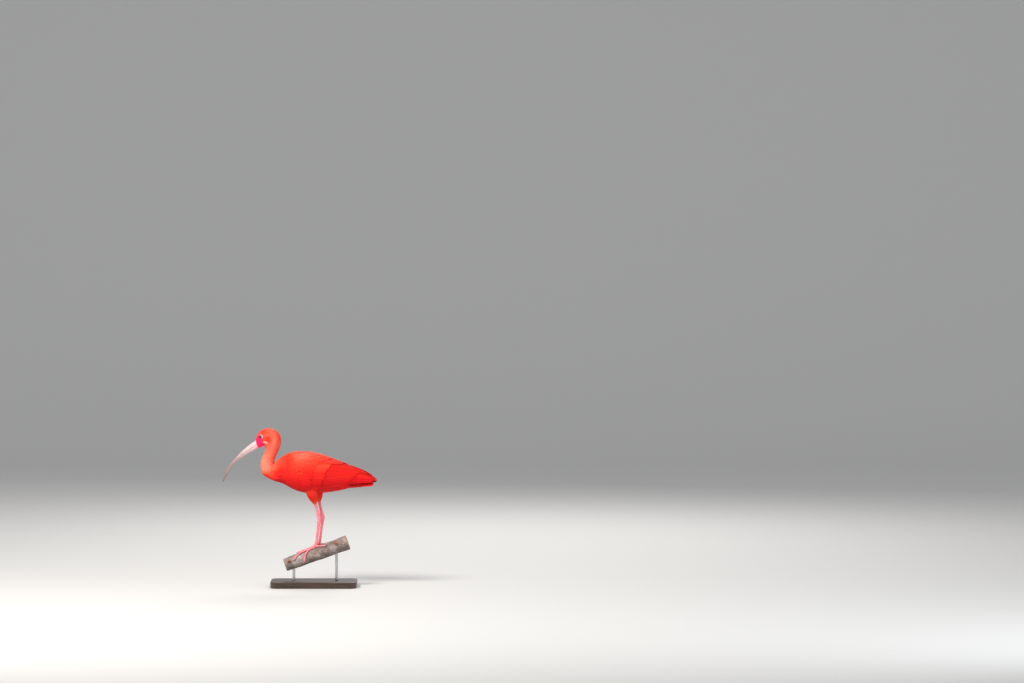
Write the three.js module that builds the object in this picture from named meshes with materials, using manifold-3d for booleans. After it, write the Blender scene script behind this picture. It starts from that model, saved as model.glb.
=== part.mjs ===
// A scarlet ibis, life size, standing on a short cut length of branch that a plain display stand holds up.
// Millimetres, +Z up. The bird faces -X and its left side faces -Y.
// The origin is under the middle of the base.
import * as THREE from "three";
import { mergeVertices } from "three/addons/utils/BufferGeometryUtils.js";
import Module from "manifold-3d";

const wasm = await Module();
wasm.setup();

// Driving dimensions
const GAP = 0.3; // kept between neighbouring pieces
const BASE = { length: 250, width: 150, thick: 18, corner: 22, chamfer: 2.5 };
const ROD_RADIUS = 4;
const ROD_AT = [-58, 66]; // x of the front and the back rod
const PERCH = { radius: 20, slope: THREE.MathUtils.degToRad(20), front: -98, back: 96 };
const FEET = { x: 8.7, top: 117.5 }; // where the feet stand: x, and z of the branch's top there
const WING_GAP_Y = 0.2; // each wing stays this far off the middle plane
const EYE = { x: -154, z: 436.3, y: 11, radius: 5.2 };
const TOE_RADIUS = 3.6;
const TOE_LIFT = 0.5; // between a toe and the branch's round outline

// Small helpers
const v3 = (x, y, z) => new THREE.Vector3(x, y, z);
const lerp = THREE.MathUtils.lerp;
const deg = THREE.MathUtils.degToRad;
const clamp01 = (t) => Math.min(1, Math.max(0, t));

// A smooth curve through rows of numbers, read at a share t of the way along the rows.
function rowsAt(rows, t) {
  const last = rows.length - 1;
  const at = clamp01(t) * last;
  const i = Math.min(last - 1, Math.floor(at));
  const f = at - i;
  const before = rows[Math.max(0, i - 1)];
  const after = rows[Math.min(last, i + 2)];
  return rows[i].map((a, k) => {
    const b = rows[i + 1][k];
    const m0 = (b - before[k]) / 2;
    const m1 = (after[k] - a) / 2;
    return (
      a * (1 + 2 * f) * (1 - f) ** 2 + m0 * f * (1 - f) ** 2 + b * f * f * (3 - 2 * f) + m1 * f * f * (f - 1)
    );
  });
}

// The same rows read by the value of their first number, which rises from row to row.
function rowsBy(rows, x) {
  let low = 0;
  let high = 1;
  for (let n = 0; n < 30; n++) {
    const mid = (low + high) / 2;
    if (rowsAt(rows, mid)[0] < x) low = mid;
    else high = mid;
  }
  return rowsAt(rows, (low + high) / 2);
}

// Seeded draws from -1 to 1, the same in each run.
function draws(seed) {
  let state = seed;
  return () => {
    state = (state * 16807) % 2147483647;
    return (state / 2147483647) * 2 - 1;
  };
}

// A closed mesh as a manifold solid, and back.
function solid(geometry) {
  const bare = new THREE.BufferGeometry();
  bare.setAttribute("position", geometry.getAttribute("position"));
  bare.setIndex(geometry.getIndex());
  const merged = mergeVertices(bare, 1e-4);
  const triVerts = new Uint32Array(merged.index.array);
  const vertProperties = new Float32Array(merged.attributes.position.array);
  const made = new wasm.Manifold(new wasm.Mesh({ numProp: 3, vertProperties, triVerts }));
  if (made.volume() > 0) return made;
  for (let i = 0; i < triVerts.length; i += 3) {
    [triVerts[i + 1], triVerts[i + 2]] = [triVerts[i + 2], triVerts[i + 1]];
  }
  return new wasm.Manifold(new wasm.Mesh({ numProp: 3, vertProperties, triVerts }));
}

function geometryOf(manifold) {
  const mesh = manifold.getMesh();
  const geometry = new THREE.BufferGeometry();
  geometry.setAttribute("position", new THREE.BufferAttribute(mesh.vertProperties, 3));
  geometry.setIndex(new THREE.BufferAttribute(mesh.triVerts, 1));
  geometry.computeVertexNormals();
  return geometry;
}

const join = (pieces) => pieces.reduce((whole, piece) => whole.add(piece));

// The largest closed surface of a solid, so that no loose scrap or sealed hollow stays.
const largest = (s) => s.decompose().sort((a, b) => b.volume() - a.volume())[0];

// A cylinder geometry remapped: each ring t gets a centre, and two half axes across it.
function sweep(rings, sides, ringAt, power = 2) {
  const geometry = new THREE.CylinderGeometry(1, 1, 1, sides, rings);
  const p = geometry.getAttribute("position");
  const round = (c) => Math.sign(c) * Math.abs(c) ** (2 / power);
  for (let i = 0; i < p.count; i++) {
    const { centre, across, up } = ringAt(0.5 - p.getY(i));
    const spot = centre
      .clone()
      .addScaledVector(across, round(p.getX(i)))
      .addScaledVector(up, round(p.getZ(i)));
    p.setXYZ(i, spot.x, spot.y, spot.z);
  }
  return solid(geometry);
}

// A body form between a back line and a belly line in the middle plane. Each row holds the back's x and z,
// the belly's x and z, and the half width. start and end are shares of the way along the rows.
function bodyForm(rows, rings, sides, { start = 0, end = 1, grow = 0, power = 2 } = {}) {
  const ringAt = (t) => {
    const [bx, bz, vx, vz, half] = rowsAt(rows, lerp(start, end, t));
    const up = v3((bx - vx) / 2, 0, (bz - vz) / 2);
    const centre = v3((bx + vx) / 2, 0, (bz + vz) / 2);
    const ahead = v3(up.z, 0, -up.x).normalize();
    if (t === 0) centre.addScaledVector(ahead, -3 * grow);
    if (t === 1) centre.addScaledVector(ahead, 3 * grow);
    return { centre, across: v3(0, half + grow, 0), up: up.setLength(up.length() + grow) };
  };
  return sweep(rings, sides, ringAt, power);
}

// A round limb along points, with a radius for each share of the way.
function limb(points, rings, sides, radiusAt) {
  const path = new THREE.CatmullRomCurve3(points, false, "centripetal");
  return sweep(rings, sides, (t) => {
    const along = path.getTangent(t);
    const across = v3(0, 1, 0).cross(along).normalize();
    const up = along.clone().cross(across).normalize();
    const r = radiusAt(t);
    return { centre: path.getPoint(t), across: across.multiplyScalar(r), up: up.multiplyScalar(r) };
  });
}

// A closed patch between an outer and an inner sheet.
// spotAt(u, v, height) is a point at a height over a surface.
function patch(nu, nv, spotAt, outerAt, innerAt) {
  const points = [];
  const faces = [];
  const row = nv + 1;
  const sheet = (nu + 1) * row;
  for (const heightAt of [outerAt, innerAt]) {
    for (let i = 0; i <= nu; i++) {
      for (let j = 0; j <= nv; j++) {
        points.push(...spotAt(i / nu, j / nv, heightAt(i / nu, j / nv)).toArray());
      }
    }
  }
  const quad = (a, b, c, d) => faces.push(a, b, c, a, c, d);
  for (let i = 0; i < nu; i++) {
    for (let j = 0; j < nv; j++) {
      const a = i * row + j;
      quad(a, a + 1, a + row + 1, a + row);
      const [d, e, f, g] = [a, a + row, a + row + 1, a + 1].map((n) => n + sheet);
      faces.push(d, f, g, d, e, f);
    }
  }
  const rim = [];
  for (let j = 0; j < nv; j++) rim.push(j);
  for (let i = 0; i < nu; i++) rim.push(i * row + nv);
  for (let j = nv; j > 0; j--) rim.push(nu * row + j);
  for (let i = nu; i > 0; i--) rim.push(i * row);
  rim.forEach((a, n) => {
    const b = rim[(n + 1) % rim.length];
    quad(b, a, a + sheet, b + sheet);
  });
  const geometry = new THREE.BufferGeometry();
  geometry.setAttribute("position", new THREE.Float32BufferAttribute(points, 3));
  geometry.setIndex(faces);
  return solid(geometry);
}

// Head and neck: back x, back z, throat x, throat z, half width, from the bill's root down to the breast
const HEAD_NECK = [
  [-168.3, 427.2, -161.6, 403.8, 9.4],
  [-164.4, 439.2, -154.9, 404.4, 12.8],
  [-156.4, 450.2, -147.9, 406.8, 15.2],
  [-144.6, 457.8, -142.7, 407.2, 17.2],
  [-129.6, 460.4, -139.2, 405.4, 18.7],
  [-110.9, 454.4, -138.3, 402.5, 19.3],
  [-98.7, 441.2, -138.9, 399.0, 19.3],
  [-95.0, 423.4, -140.4, 394.4, 18.7],
  [-98.0, 405.1, -143.0, 388.0, 17.6],
  [-105.6, 388.0, -147.3, 379.9, 17],
  [-111.9, 373.1, -151.7, 369.5, 17.5],
  [-114.3, 358.4, -154.0, 356.1, 19],
  [-107.3, 345.6, -153.4, 340.9, 22],
  [-95.7, 336.4, -147.4, 326.0, 26],
  [-87.0, 327.0, -134.0, 317.2, 30],
];
// Flat cuts in the middle plane, by a point's x and z and a normal: behind the cheek, and across the neck
const HEAD_END = { at: [-119, 420.5], normal: [-0.66, 0, 0.75] };
const NECK_SPLIT = { at: [-130, 376], normal: [0.05, 0, 1] };

// Torso: back x, back z, belly x, belly z, half width, from the breast to the root of the tail
const TORSO = [
  [-136, 341, -136, 337, 3],
  [-131, 349, -131, 320, 17],
  [-116, 358.5, -114, 308, 28],
  [-90, 379, -89, 300, 38],
  [-58, 390.5, -58, 283.5, 45],
  [-26, 390, -26, 274, 47.5],
  [11.6, 380, 11.6, 272.4, 47],
  [46.4, 365, 46.4, 276, 41],
  [81, 347.5, 81, 281.5, 31],
  [104, 338.5, 104, 288.5, 24],
  [122, 328, 122, 297, 16],
];
const BODY_POWER = 2.4;

// The folded wings' outline over the body: x, top z, low z, half width
const WING_HULL = [
  [-98, 372.5, 300, 38],
  [-84, 383, 294, 45],
  [-58, 392.6, 282, 54.5],
  [-26, 393.6, 273, 58.5],
  [11.6, 388, 272, 58.5],
  [46.4, 376.4, 276, 53],
  [81, 363, 281.5, 43.5],
  [116, 350.4, 286, 33],
  [151, 335.6, 287, 23.5],
  [183, 316, 292, 13],
];
// x, the wing's upper edge in degrees from the top, and its lower edge as a height z
const WING_EDGES = [
  [-98, 60, 318],
  [-84, 46, 304],
  [-58, 37, 294],
  [-26, 27, 287],
  [11.6, 14, 285],
  [46.4, 5, 290],
  [81, 1.2, 296],
  [116, 0.8, 301],
  [151, 0.8, 302],
  [183, 2, 303],
];

// How far the outer and the inner side of the wing's flesh lie under the outline, and x of its rear end
const WING_PAD = { skin: 3, depth: 15, back: 126 };

// Feathers of the folded wing in tiers, the lowest tier first: primaries, secondaries, tertials,
// greater coverts, median coverts, rear scapulars, front scapulars. Each tier runs from the wing's lower
// edge to its upper edge, with x of the roots and tips, shares of the way from the upper to the lower
// edge there, and the height of roots and tips over the outline.
const WING_TIERS = [
  { count: 5, root: [62, 74], tip: [180, 177], from: [0.9, 0.4], to: [0.88, 0.37], rise: [-6.2, -4.3] },
  { count: 7, root: [-14, 6], tip: [94, 139], from: [0.95, 0.43], to: [0.97, 0.43], rise: [-7, -0.6] },
  { count: 4, root: [8, 22], tip: [164, 181], from: [0.33, 0.065], to: [0.33, 0.08], rise: [-7, 0.2] },
  { count: 7, root: [-50, -22], tip: [10, 52], from: [0.94, 0.3], to: [0.95, 0.3], rise: [-7, 0.1] },
  { count: 6, root: [-78, -50], tip: [-34, 10], from: [0.9, 0.28], to: [0.93, 0.26], rise: [-7, 0.1] },
  { count: 3, root: [-2, 8], tip: [66, 88], from: [0.25, 0.09], to: [0.22, 0.07], rise: [-7, 0.8] },
  { count: 3, root: [-52, -36], tip: [8, 30], from: [0.2, 0.06], to: [0.18, 0.06], rise: [-7, 0.8] },
];
const TIER_WIDE = 0.76; // a feather's half width against the spacing of its tier

// A spot on the folded wing at x, at a share v from its upper to its lower edge and a height over it.
function wingSpot(side, x, v, height) {
  const at = (xx, angle) => {
    const [, top, low, half] = rowsBy(WING_HULL, xx);
    const round = (c) => Math.sign(c) * Math.abs(c) ** (2 / BODY_POWER);
    const z = (top + low) / 2 + ((top - low) / 2) * round(Math.cos(angle));
    return v3(xx, half * round(Math.sin(angle)), z);
  };
  const [, top, low] = rowsBy(WING_HULL, x);
  const [, upper, edge] = rowsBy(WING_EDGES, x);
  const drop = Math.max(-0.98, (edge - (top + low) / 2) / ((top - low) / 2));
  const lower = Math.acos(Math.sign(drop) * Math.abs(drop) ** (BODY_POWER / 2));
  const angle = lerp(deg(upper), lower, v);
  const spot = at(x, angle);
  const along = at(x + 1, angle).sub(at(x - 1, angle));
  const around = at(x, angle + 0.02).sub(at(x, Math.max(0.001, angle - 0.02)));
  const normal = around.cross(along).normalize();
  if (normal.y < 0) normal.negate();
  spot.addScaledVector(normal, height);
  return v3(spot.x, spot.y * side, spot.z);
}

// The pieces of a solid on the two sides of a thin flat cut, the one the normal points to first
function part(whole, { at, normal }) {
  const facing = v3(...normal).normalize();
  const offset = facing.dot(v3(at[0], 0, at[1]));
  const front = whole.trimByPlane(facing.toArray(), offset + GAP / 2);
  const back = whole.trimByPlane(facing.clone().negate().toArray(), -offset + GAP / 2);
  return [largest(front), largest(back)];
}

// Head with sockets, lids and the line of the mouth running back from the bill
function makeHead(skull) {
  let head = skull;
  const sockets = [];
  for (const side of [-1, 1]) {
    const centre = [EYE.x, side * EYE.y, EYE.z];
    const lid = new THREE.TorusGeometry(EYE.radius * 0.86, 1.15, 4, 12);
    lid.scale(1.12, 0.95, 1).rotateX(Math.PI / 2).rotateZ(-side * deg(13));
    lid.translate(EYE.x, side * (EYE.y + 2.6), EYE.z);
    head = head.add(solid(lid));
    sockets.push(solid(new THREE.SphereGeometry(EYE.radius + GAP, 11, 7).translate(...centre)));
    const mouth = new THREE.BoxGeometry(24, 1.6, 0.7).rotateY(deg(26));
    sockets.push(solid(mouth.rotateZ(side * deg(17)).translate(-158.5, side * 12.9, 417.5)));
  }
  sockets.forEach((cut) => {
    head = head.subtract(cut);
  });
  return largest(head);
}

function makeEye(side) {
  return solid(new THREE.SphereGeometry(EYE.radius, 11, 7).translate(EYE.x, side * EYE.y, EYE.z));
}

// Bill: culmen x and z, mouth line x and z, lower edge x and z, half width
const BILL = [
  [-165.4, 427.0, -162.0, 415.6, -158.9, 404.6, 9.2],
  [-192.4, 407.8, -187.4, 399.0, -184.0, 390.6, 7.4],
  [-213.7, 388.9, -208.8, 382.8, -205.1, 377.4, 6.0],
  [-232.5, 368.6, -228.6, 365.2, -224.6, 361.8, 4.9],
  [-247.2, 348.4, -243.8, 346.2, -239.8, 343.4, 4.1],
  [-257.9, 327.5, -255.0, 326.0, -251.6, 324.4, 3.3],
  [-264.4, 306.4, -262.6, 305.6, -261.2, 305.8, 1.5],
];
// The flat front of the face, where the bill grows
const FACE = { at: [-168.3, 427.2], normal: [-23.4, 0, -6.7] };

function makeBillHalf(upper) {
  const rows = BILL.map(([cx, cz, mx, mz, lx, lz, half]) => {
    const up = v3(cx - lx, 0, cz - lz).setLength(GAP / 2);
    if (upper) return [cx, cz, mx + up.x, mz + up.z, half];
    return [mx - up.x, mz - up.z, lx, lz, half * 0.92];
  });
  const facing = v3(...FACE.normal).normalize();
  const offset = facing.dot(v3(FACE.at[0], 0, FACE.at[1])) + GAP;
  let bill = largest(bodyForm(rows, 12, 10, { power: 2.3 }).trimByPlane(facing.toArray(), offset));
  if (upper) {
    for (const side of [-1, 1]) {
      const slit = new THREE.SphereGeometry(1, 8, 4).scale(6.5, 1.5, 1.0);
      slit.rotateY(deg(-37)).translate(-181.5, side * 6.9, 408.4);
      bill = bill.subtract(solid(slit));
    }
  }
  return bill;
}

function makeTorso(grow = 0) {
  return bodyForm(TORSO, 18, 18, { grow, power: BODY_POWER });
}

// A thin vane: spotAt(u, edge, height) gives a point at a share of its length and a share of its half
// width from its shaft. It is narrow at its root and rounded at its tip, and one edge lies higher, so that
// a row overlaps like shingles.
const VANE = { thick: 0.6, tipThick: 0.5, tilt: 1.15, widths: [[0.6], [0.95], [1], [0.97], [0.8]], end: 0.3 };

function vane(spotAt, { steps = 5, tilt = VANE.tilt, end = VANE.end } = {}) {
  const shareAt = (u) => 1 - (1 - u) ** 1.7;
  const widthAt = (u) => (u > 0.999 ? end : rowsAt(VANE.widths, u)[0]);
  return patch(
    steps,
    1,
    (u, v, height) => {
      const edge = (2 * v - 1) * widthAt(u);
      return spotAt(shareAt(u), edge, height + edge * tilt);
    },
    () => 0,
    (u) => -lerp(VANE.thick, VANE.tipThick, u),
  );
}

// The folded wing: a thin pad of flesh with its flight feathers, coverts and scapulars in tiers over it
function makeWing(side, torsoGrown) {
  const random = draws(7);
  const front = (v) => -96 + 60 * (v - 0.45) ** 2;
  const back = (v) => WING_PAD.back - 60 * Math.max(0, v - 0.5);
  const pad = patch(
    12,
    6,
    (u, v, height) => wingSpot(side, lerp(front(v), back(v), u), lerp(0.03, 1, v), height),
    (u, v) => -WING_PAD.skin - 5 * (1 - Math.min(1, u / 0.1)) ** 2 - 2 * (2 * v - 1) ** 6,
    (u) => -lerp(WING_PAD.depth, 7.5, clamp01(u * 1.3)),
  );
  const pieces = [pad];
  for (const tier of WING_TIERS) {
    for (let n = 0; n < tier.count; n++) {
      const q = n / (tier.count - 1);
      const root = lerp(...tier.root, q) + random();
      const tip = lerp(...tier.tip, q) + 2 * random();
      const from = lerp(...tier.from, q);
      const to = lerp(...tier.to, q) + 0.004 * random();
      const half = (TIER_WIDE * (tier.from[0] - tier.from[1])) / (tier.count - 1);
      const spotAt = (u, edge, height) => {
        const rise = lerp(...tier.rise, 1 - (1 - u) ** 1.8);
        return wingSpot(side, lerp(root, tip, u), lerp(from, to, u) + edge * half, rise + height);
      };
      pieces.push(vane(spotAt));
    }
  }
  const farHalf = new THREE.BoxGeometry(600, 200, 600).translate(0, side * (WING_GAP_Y - 100), 300);
  const thigh = thighForm(side < 0 ? LEGS.left : LEGS.right, 2 * GAP);
  return largest(join(pieces).subtract(torsoGrown).subtract(solid(farHalf)).subtract(thigh));
}

// Tail: a short wedge of flesh and coverts, by x, top z, low z and half width, under twelve feathers in a fan
const TAIL_HULL = [
  [96, 318, 286, 20],
  [115, 314, 287.5, 18.5],
  [136, 305.5, 290.5, 16],
];
const TAIL_FAN = { perSide: 6, root: 112, tip: 172.5, rootZ: 303, tipZ: 299.5, step: 1.3 };
const TAIL_HALF = { middle: 7.5, outer: 6.4 };
const UNDER_TAIL = { across: 3, from: 102, length: 46, spacing: 10.5, half: 8 };

function makeTail(torsoGrown) {
  const random = draws(23);
  const rows = TAIL_HULL.map(([x, top, low, half]) => [x, top, x, low, half]);
  const pieces = [bodyForm(rows, 6, 14)];
  for (const side of [-1, 1]) {
    for (let n = 0; n < TAIL_FAN.perSide; n++) {
      const middle = n === 0;
      const tip = TAIL_FAN.tip - 0.5 * n ** 1.4 + 0.8 * random();
      const half = middle ? TAIL_HALF.middle : TAIL_HALF.outer;
      const tipY = side * (middle ? 1.8 : 7.2 + 1.6 * (n - 1));
      const level = middle ? Math.min(0, -side) : -TAIL_FAN.step * n - 1;
      const roll = deg(1.3 * side * n);
      const spotAt = (u, edge, height) => {
        const y = tipY * lerp(0.75, 1, u) + edge * half * Math.cos(roll) + height * Math.sin(roll);
        const z = lerp(TAIL_FAN.rootZ, TAIL_FAN.tipZ, u) + level - edge * half * Math.sin(roll);
        return v3(lerp(TAIL_FAN.root, tip, u), y, z + height * Math.cos(roll));
      };
      pieces.push(vane(spotAt, { tilt: 0, end: 0.55 }));
    }
  }
  for (let n = 0; n < UNDER_TAIL.across; n++) {
    const place = n - (UNDER_TAIL.across - 1) / 2;
    const spotAt = (u, edge, height) => {
      const x = UNDER_TAIL.from + (UNDER_TAIL.length - 6 * Math.abs(place)) * u;
      const y = place * UNDER_TAIL.spacing + edge * UNDER_TAIL.half;
      const z = 290.5 - 2.5 * Math.sin(Math.PI * u) + 0.012 * y * y - 1.3 * (1 - Math.abs(place)) * u;
      return v3(x, y, z - height);
    };
    pieces.push(vane(spotAt, { steps: 4, tilt: 0 }));
  }
  return largest(join(pieces).subtract(torsoGrown));
}

// Legs: hip, where the feathers end, ankle and foot, for each side
const LEGS = {
  left: {
    side: -1,
    hip: [-6, -25, 298],
    belly: [-5, -22, 276],
    bare: [4.4, -16, 243.6],
    ankle: [16.2, -11, 198.4],
    foot: [6.7, -8.5, 124],
  },
  right: {
    side: 1,
    hip: [9, 25, 298],
    belly: [9.5, 22, 276],
    bare: [14.6, 16, 246],
    ankle: [25.6, 11, 199.6],
    foot: [16.2, 8.5, 127.5],
  },
};

function thighForm({ hip, belly, bare }, grow = 0) {
  const points = [hip, belly, bare].map((p) => v3(...p));
  points[0].z += 3 * grow;
  const thick = [[18], [17.5], [14], [5.4]];
  return limb(points, 9, 11, (t) => rowsAt(thick, t)[0] + grow);
}

function makeThigh(leg, torsoGrown) {
  return largest(thighForm(leg).subtract(torsoGrown).subtract(makeShank(leg, GAP)));
}

// The bare tibia down to the knobbly ankle
function makeShank({ belly, bare, ankle }, grow = 0) {
  const start = v3(...bare).lerp(v3(...belly), grow / 34);
  const bottom = v3(...ankle);
  const end = bottom.clone().addScaledVector(bottom.clone().sub(start).normalize(), grow);
  const thick = [[4.8], [4.3], [4.1], [4.4], [5.8], [5.6]];
  return limb([start, start.clone().lerp(end, 0.5), end], 8, 10, (t) => rowsAt(thick, t)[0] + grow);
}

function tarsusForm(leg, grow = 0) {
  const from = v3(...leg.ankle);
  const foot = v3(...leg.foot);
  const to = foot.clone().addScaledVector(foot.clone().sub(from).normalize(), grow);
  const thick = [[5.6], [5.0], [4.2], [3.9], [3.9], [4.1], [4.6]];
  return limb([from, from.clone().lerp(to, 0.5), to], 7, 8, (t) => rowsAt(thick, t)[0] + grow);
}

function makeTarsus(leg) {
  return largest(tarsusForm(leg).subtract(makeShank(leg, GAP)));
}

// The branch, and a spot on it: a along it towards the tail, an angle from its top towards the left, a height
const along = v3(Math.cos(PERCH.slope), 0, Math.sin(PERCH.slope));
const over = v3(-Math.sin(PERCH.slope), 0, Math.cos(PERCH.slope));
const heart = v3(FEET.x, 0, FEET.top - PERCH.radius / Math.cos(PERCH.slope));
const branchRadius = (a) => PERCH.radius + 0.011 * a + 0.5 * Math.sin(a * 0.085);

function branchSpot(a, angle, height) {
  const r = branchRadius(a) + height;
  return heart
    .clone()
    .addScaledVector(along, a)
    .addScaledVector(over, r * Math.cos(angle))
    .add(v3(0, -r * Math.sin(angle), 0));
}

function branchForm(grow = 0) {
  const { front, back } = PERCH;
  const reach = back - front + 2 * grow;
  return sweep(11, 14, (t) => {
    const a = front - grow + reach * t;
    const r = branchRadius(a) + grow;
    const centre = heart.clone().addScaledVector(along, a);
    return { centre, across: v3(0, r, 0), up: over.clone().multiplyScalar(r) };
  });
}

// Stubs of broken twigs: place along the branch, turn round it from its top, length and radius
const STUBS = [
  [-85, 66, 8, 4.2],
  [60, 62, 8, 4.6],
  [38, -70, 10, 5],
];

function makePerch() {
  const stubs = STUBS.map(([a, turn, length, radius]) => {
    const points = [branchSpot(a, deg(turn), -7), branchSpot(a + length / 2, deg(turn), length)];
    return limb(points, 2, 6, (t) => radius * (1 - 0.25 * t));
  });
  return largest(join([branchForm(), ...stubs]));
}

// Each toe: how far it runs along the branch, its turn round it at root and tip, and how late it turns
const TOES = [
  { name: "hind", start: 5, run: 26, from: 0, to: 26, bend: 1, size: 0.86 },
  { name: "inner", start: -2, run: -44, from: 0, to: -13, bend: 1, size: 0.9 },
  { name: "middle", start: -3, run: -59, from: 0, to: 42, bend: 3.2, size: 1 },
  { name: "outer", start: -2, run: -36, from: 4, to: 86, bend: 2.5, size: 0.9 },
];
const FOOT_ANGLE = 23; // degrees round the branch from its top
const FOOT_AT = { left: -2.4, right: 7.8 }; // along the branch

function toePath(sideName, toe, share, lift) {
  const side = LEGS[sideName].side;
  const a = FOOT_AT[sideName] + toe.start + toe.run * share;
  const turn = FOOT_ANGLE + lerp(toe.from, toe.to, share ** toe.bend);
  return branchSpot(a, deg(-side * turn), lift);
}

function toeRadius(toe, share) {
  const joint = 0.09 * Math.cos(share * Math.PI * 6.2);
  return TOE_RADIUS * toe.size * (1 - 0.32 * share + joint);
}

function makeToe(sideName, toe) {
  const points = [];
  for (let n = 0; n <= 8; n++) {
    const share = n / 8;
    points.push(toePath(sideName, toe, share, toeRadius(toe, share) + TOE_LIFT));
  }
  const rings = 6 + Math.round(Math.abs(toe.to) / 22);
  return limb(points, rings, 7, (t) => toeRadius(toe, t));
}

function makeFoot(sideName, perchGrown) {
  const leg = LEGS[sideName];
  const top = v3(...leg.foot);
  const hub = branchSpot(FOOT_AT[sideName], deg(-leg.side * FOOT_ANGLE), 3.4);
  const sole = top.clone().lerp(hub, 1.45);
  const thick = [[4.6], [5.2], [5.6]];
  const instep = limb([top, hub, sole], 5, 10, (t) => rowsAt(thick, t)[0]);
  const pieces = [instep.subtract(perchGrown).subtract(tarsusForm(leg, GAP))];
  TOES.forEach((toe) => pieces.push(makeToe(sideName, toe)));
  return largest(join(pieces));
}

// A claw carries the toe's line on and bends down to the bark
function makeClaw(sideName, toe, foot, perchGrown) {
  const length = 9 * toe.size;
  const end = toePath(sideName, toe, 1, toeRadius(toe, 1) + TOE_LIFT);
  const before = toePath(sideName, toe, 0.93, toeRadius(toe, 0.93) + TOE_LIFT);
  const ahead = end.clone().sub(before).normalize();
  const r = toeRadius(toe, 1);
  const inward = toePath(sideName, toe, 1, 0).sub(end).normalize();
  const start = end.clone().addScaledVector(ahead, GAP + 0.15);
  const middle = start.clone().addScaledVector(ahead, length * 0.5).addScaledVector(inward, r * 0.05);
  const tip = start.clone().addScaledVector(ahead, length).addScaledVector(inward, r * 0.75);
  const thick = [[r * 0.8], [r * 0.62], [0.3]];
  const claw = limb([start, middle, tip], 4, 6, (t) => rowsAt(thick, t)[0]);
  return largest(claw.subtract(foot).subtract(perchGrown));
}

// Stand: a flat base and two round rods up to the branch
function makeBase() {
  const { length, width, thick, corner, chamfer } = BASE;
  const [hx, hy] = [length / 2 - chamfer, width / 2 - chamfer];
  const r = corner - chamfer;
  const shape = new THREE.Shape();
  shape.absarc(hx - r, hy - r, r, 0, Math.PI / 2);
  shape.absarc(-hx + r, hy - r, r, Math.PI / 2, Math.PI);
  shape.absarc(-hx + r, -hy + r, r, Math.PI, 1.5 * Math.PI);
  shape.absarc(hx - r, -hy + r, r, 1.5 * Math.PI, 2 * Math.PI);
  const bevel = { bevelEnabled: true, bevelThickness: chamfer, bevelSize: chamfer, bevelSegments: 1 };
  const slab = new THREE.ExtrudeGeometry(shape, { depth: thick - 2 * chamfer, curveSegments: 4, ...bevel });
  return solid(slab.translate(0, 0, chamfer));
}

function makeRod(x, perchGrown) {
  const top = FEET.top + (x - FEET.x) * Math.tan(PERCH.slope) - PERCH.radius;
  const bottom = BASE.thick + GAP;
  const rod = new THREE.CylinderGeometry(ROD_RADIUS, ROD_RADIUS, top - bottom, 20);
  rod.rotateX(Math.PI / 2).translate(x, 0, (top + bottom) / 2);
  return largest(solid(rod).subtract(perchGrown));
}

// Materials
function finish(color, roughness, metalness = 0) {
  return new THREE.MeshStandardMaterial({ color, roughness, metalness });
}

const NECK_RED = finish(0xf2502f, 0.75);
const BODY_RED = finish(0xe8201a, 0.7);
const FACE_PINK = finish(0xe8506e, 0.5);
const BILL_PALE = finish(0xd9b8b0, 0.4);
const LEG_PINK = finish(0xe87884, 0.5);
const CLAW_PALE = finish(0xb39590, 0.45);
const EYE_DARK = finish(0x14100e, 0.1);
const BARK = finish(0x7d6f68, 0.9);
const BASE_WOOD = finish(0x3b2a20, 0.5);
const ROD_STEEL = finish(0x9a9a9c, 0.3, 1);

const ibis = new THREE.Group();

function place(name, manifold, material) {
  const mesh = new THREE.Mesh(geometryOf(manifold), material);
  mesh.name = name;
  ibis.add(mesh);
}

const torsoGrown = makeTorso(GAP);
const perchGrown = branchForm(GAP);
const [skull, neck] = part(bodyForm(HEAD_NECK, 31, 16), HEAD_END);
const [neckUpper, neckLower] = part(neck, NECK_SPLIT);

place("torso", makeTorso(), BODY_RED);
place("head", makeHead(skull), FACE_PINK);
place("neck_upper", neckUpper, NECK_RED);
place("neck_lower", largest(neckLower.subtract(torsoGrown)), NECK_RED);
place("bill_upper", makeBillHalf(true), BILL_PALE);
place("bill_lower", makeBillHalf(false), BILL_PALE);
place("tail", makeTail(torsoGrown), BODY_RED);

for (const [sideName, leg] of Object.entries(LEGS)) {
  place(`eye_${sideName}`, makeEye(leg.side), EYE_DARK);
  place(`wing_${sideName}`, makeWing(leg.side, torsoGrown), BODY_RED);
  place(`thigh_${sideName}`, makeThigh(leg, torsoGrown), BODY_RED);
  place(`shank_${sideName}`, makeShank(leg), LEG_PINK);
  place(`tarsus_${sideName}`, makeTarsus(leg), LEG_PINK);
  const foot = makeFoot(sideName, perchGrown);
  place(`foot_${sideName}`, foot, LEG_PINK);
  for (const toe of TOES) {
    place(`claw_${toe.name}_${sideName}`, makeClaw(sideName, toe, foot, perchGrown), CLAW_PALE);
  }
}

place("perch_branch", makePerch(), BARK);
place("stand_base", makeBase(), BASE_WOOD);
place("stand_rod_front", makeRod(ROD_AT[0], perchGrown), ROD_STEEL);
place("stand_rod_back", makeRod(ROD_AT[1], perchGrown), ROD_STEEL);

export default ibis;
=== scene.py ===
"""The looks of a life-size scarlet ibis: skin, a coat of vanes, eyes, bill, claws, bark and stand."""
import math

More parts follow.
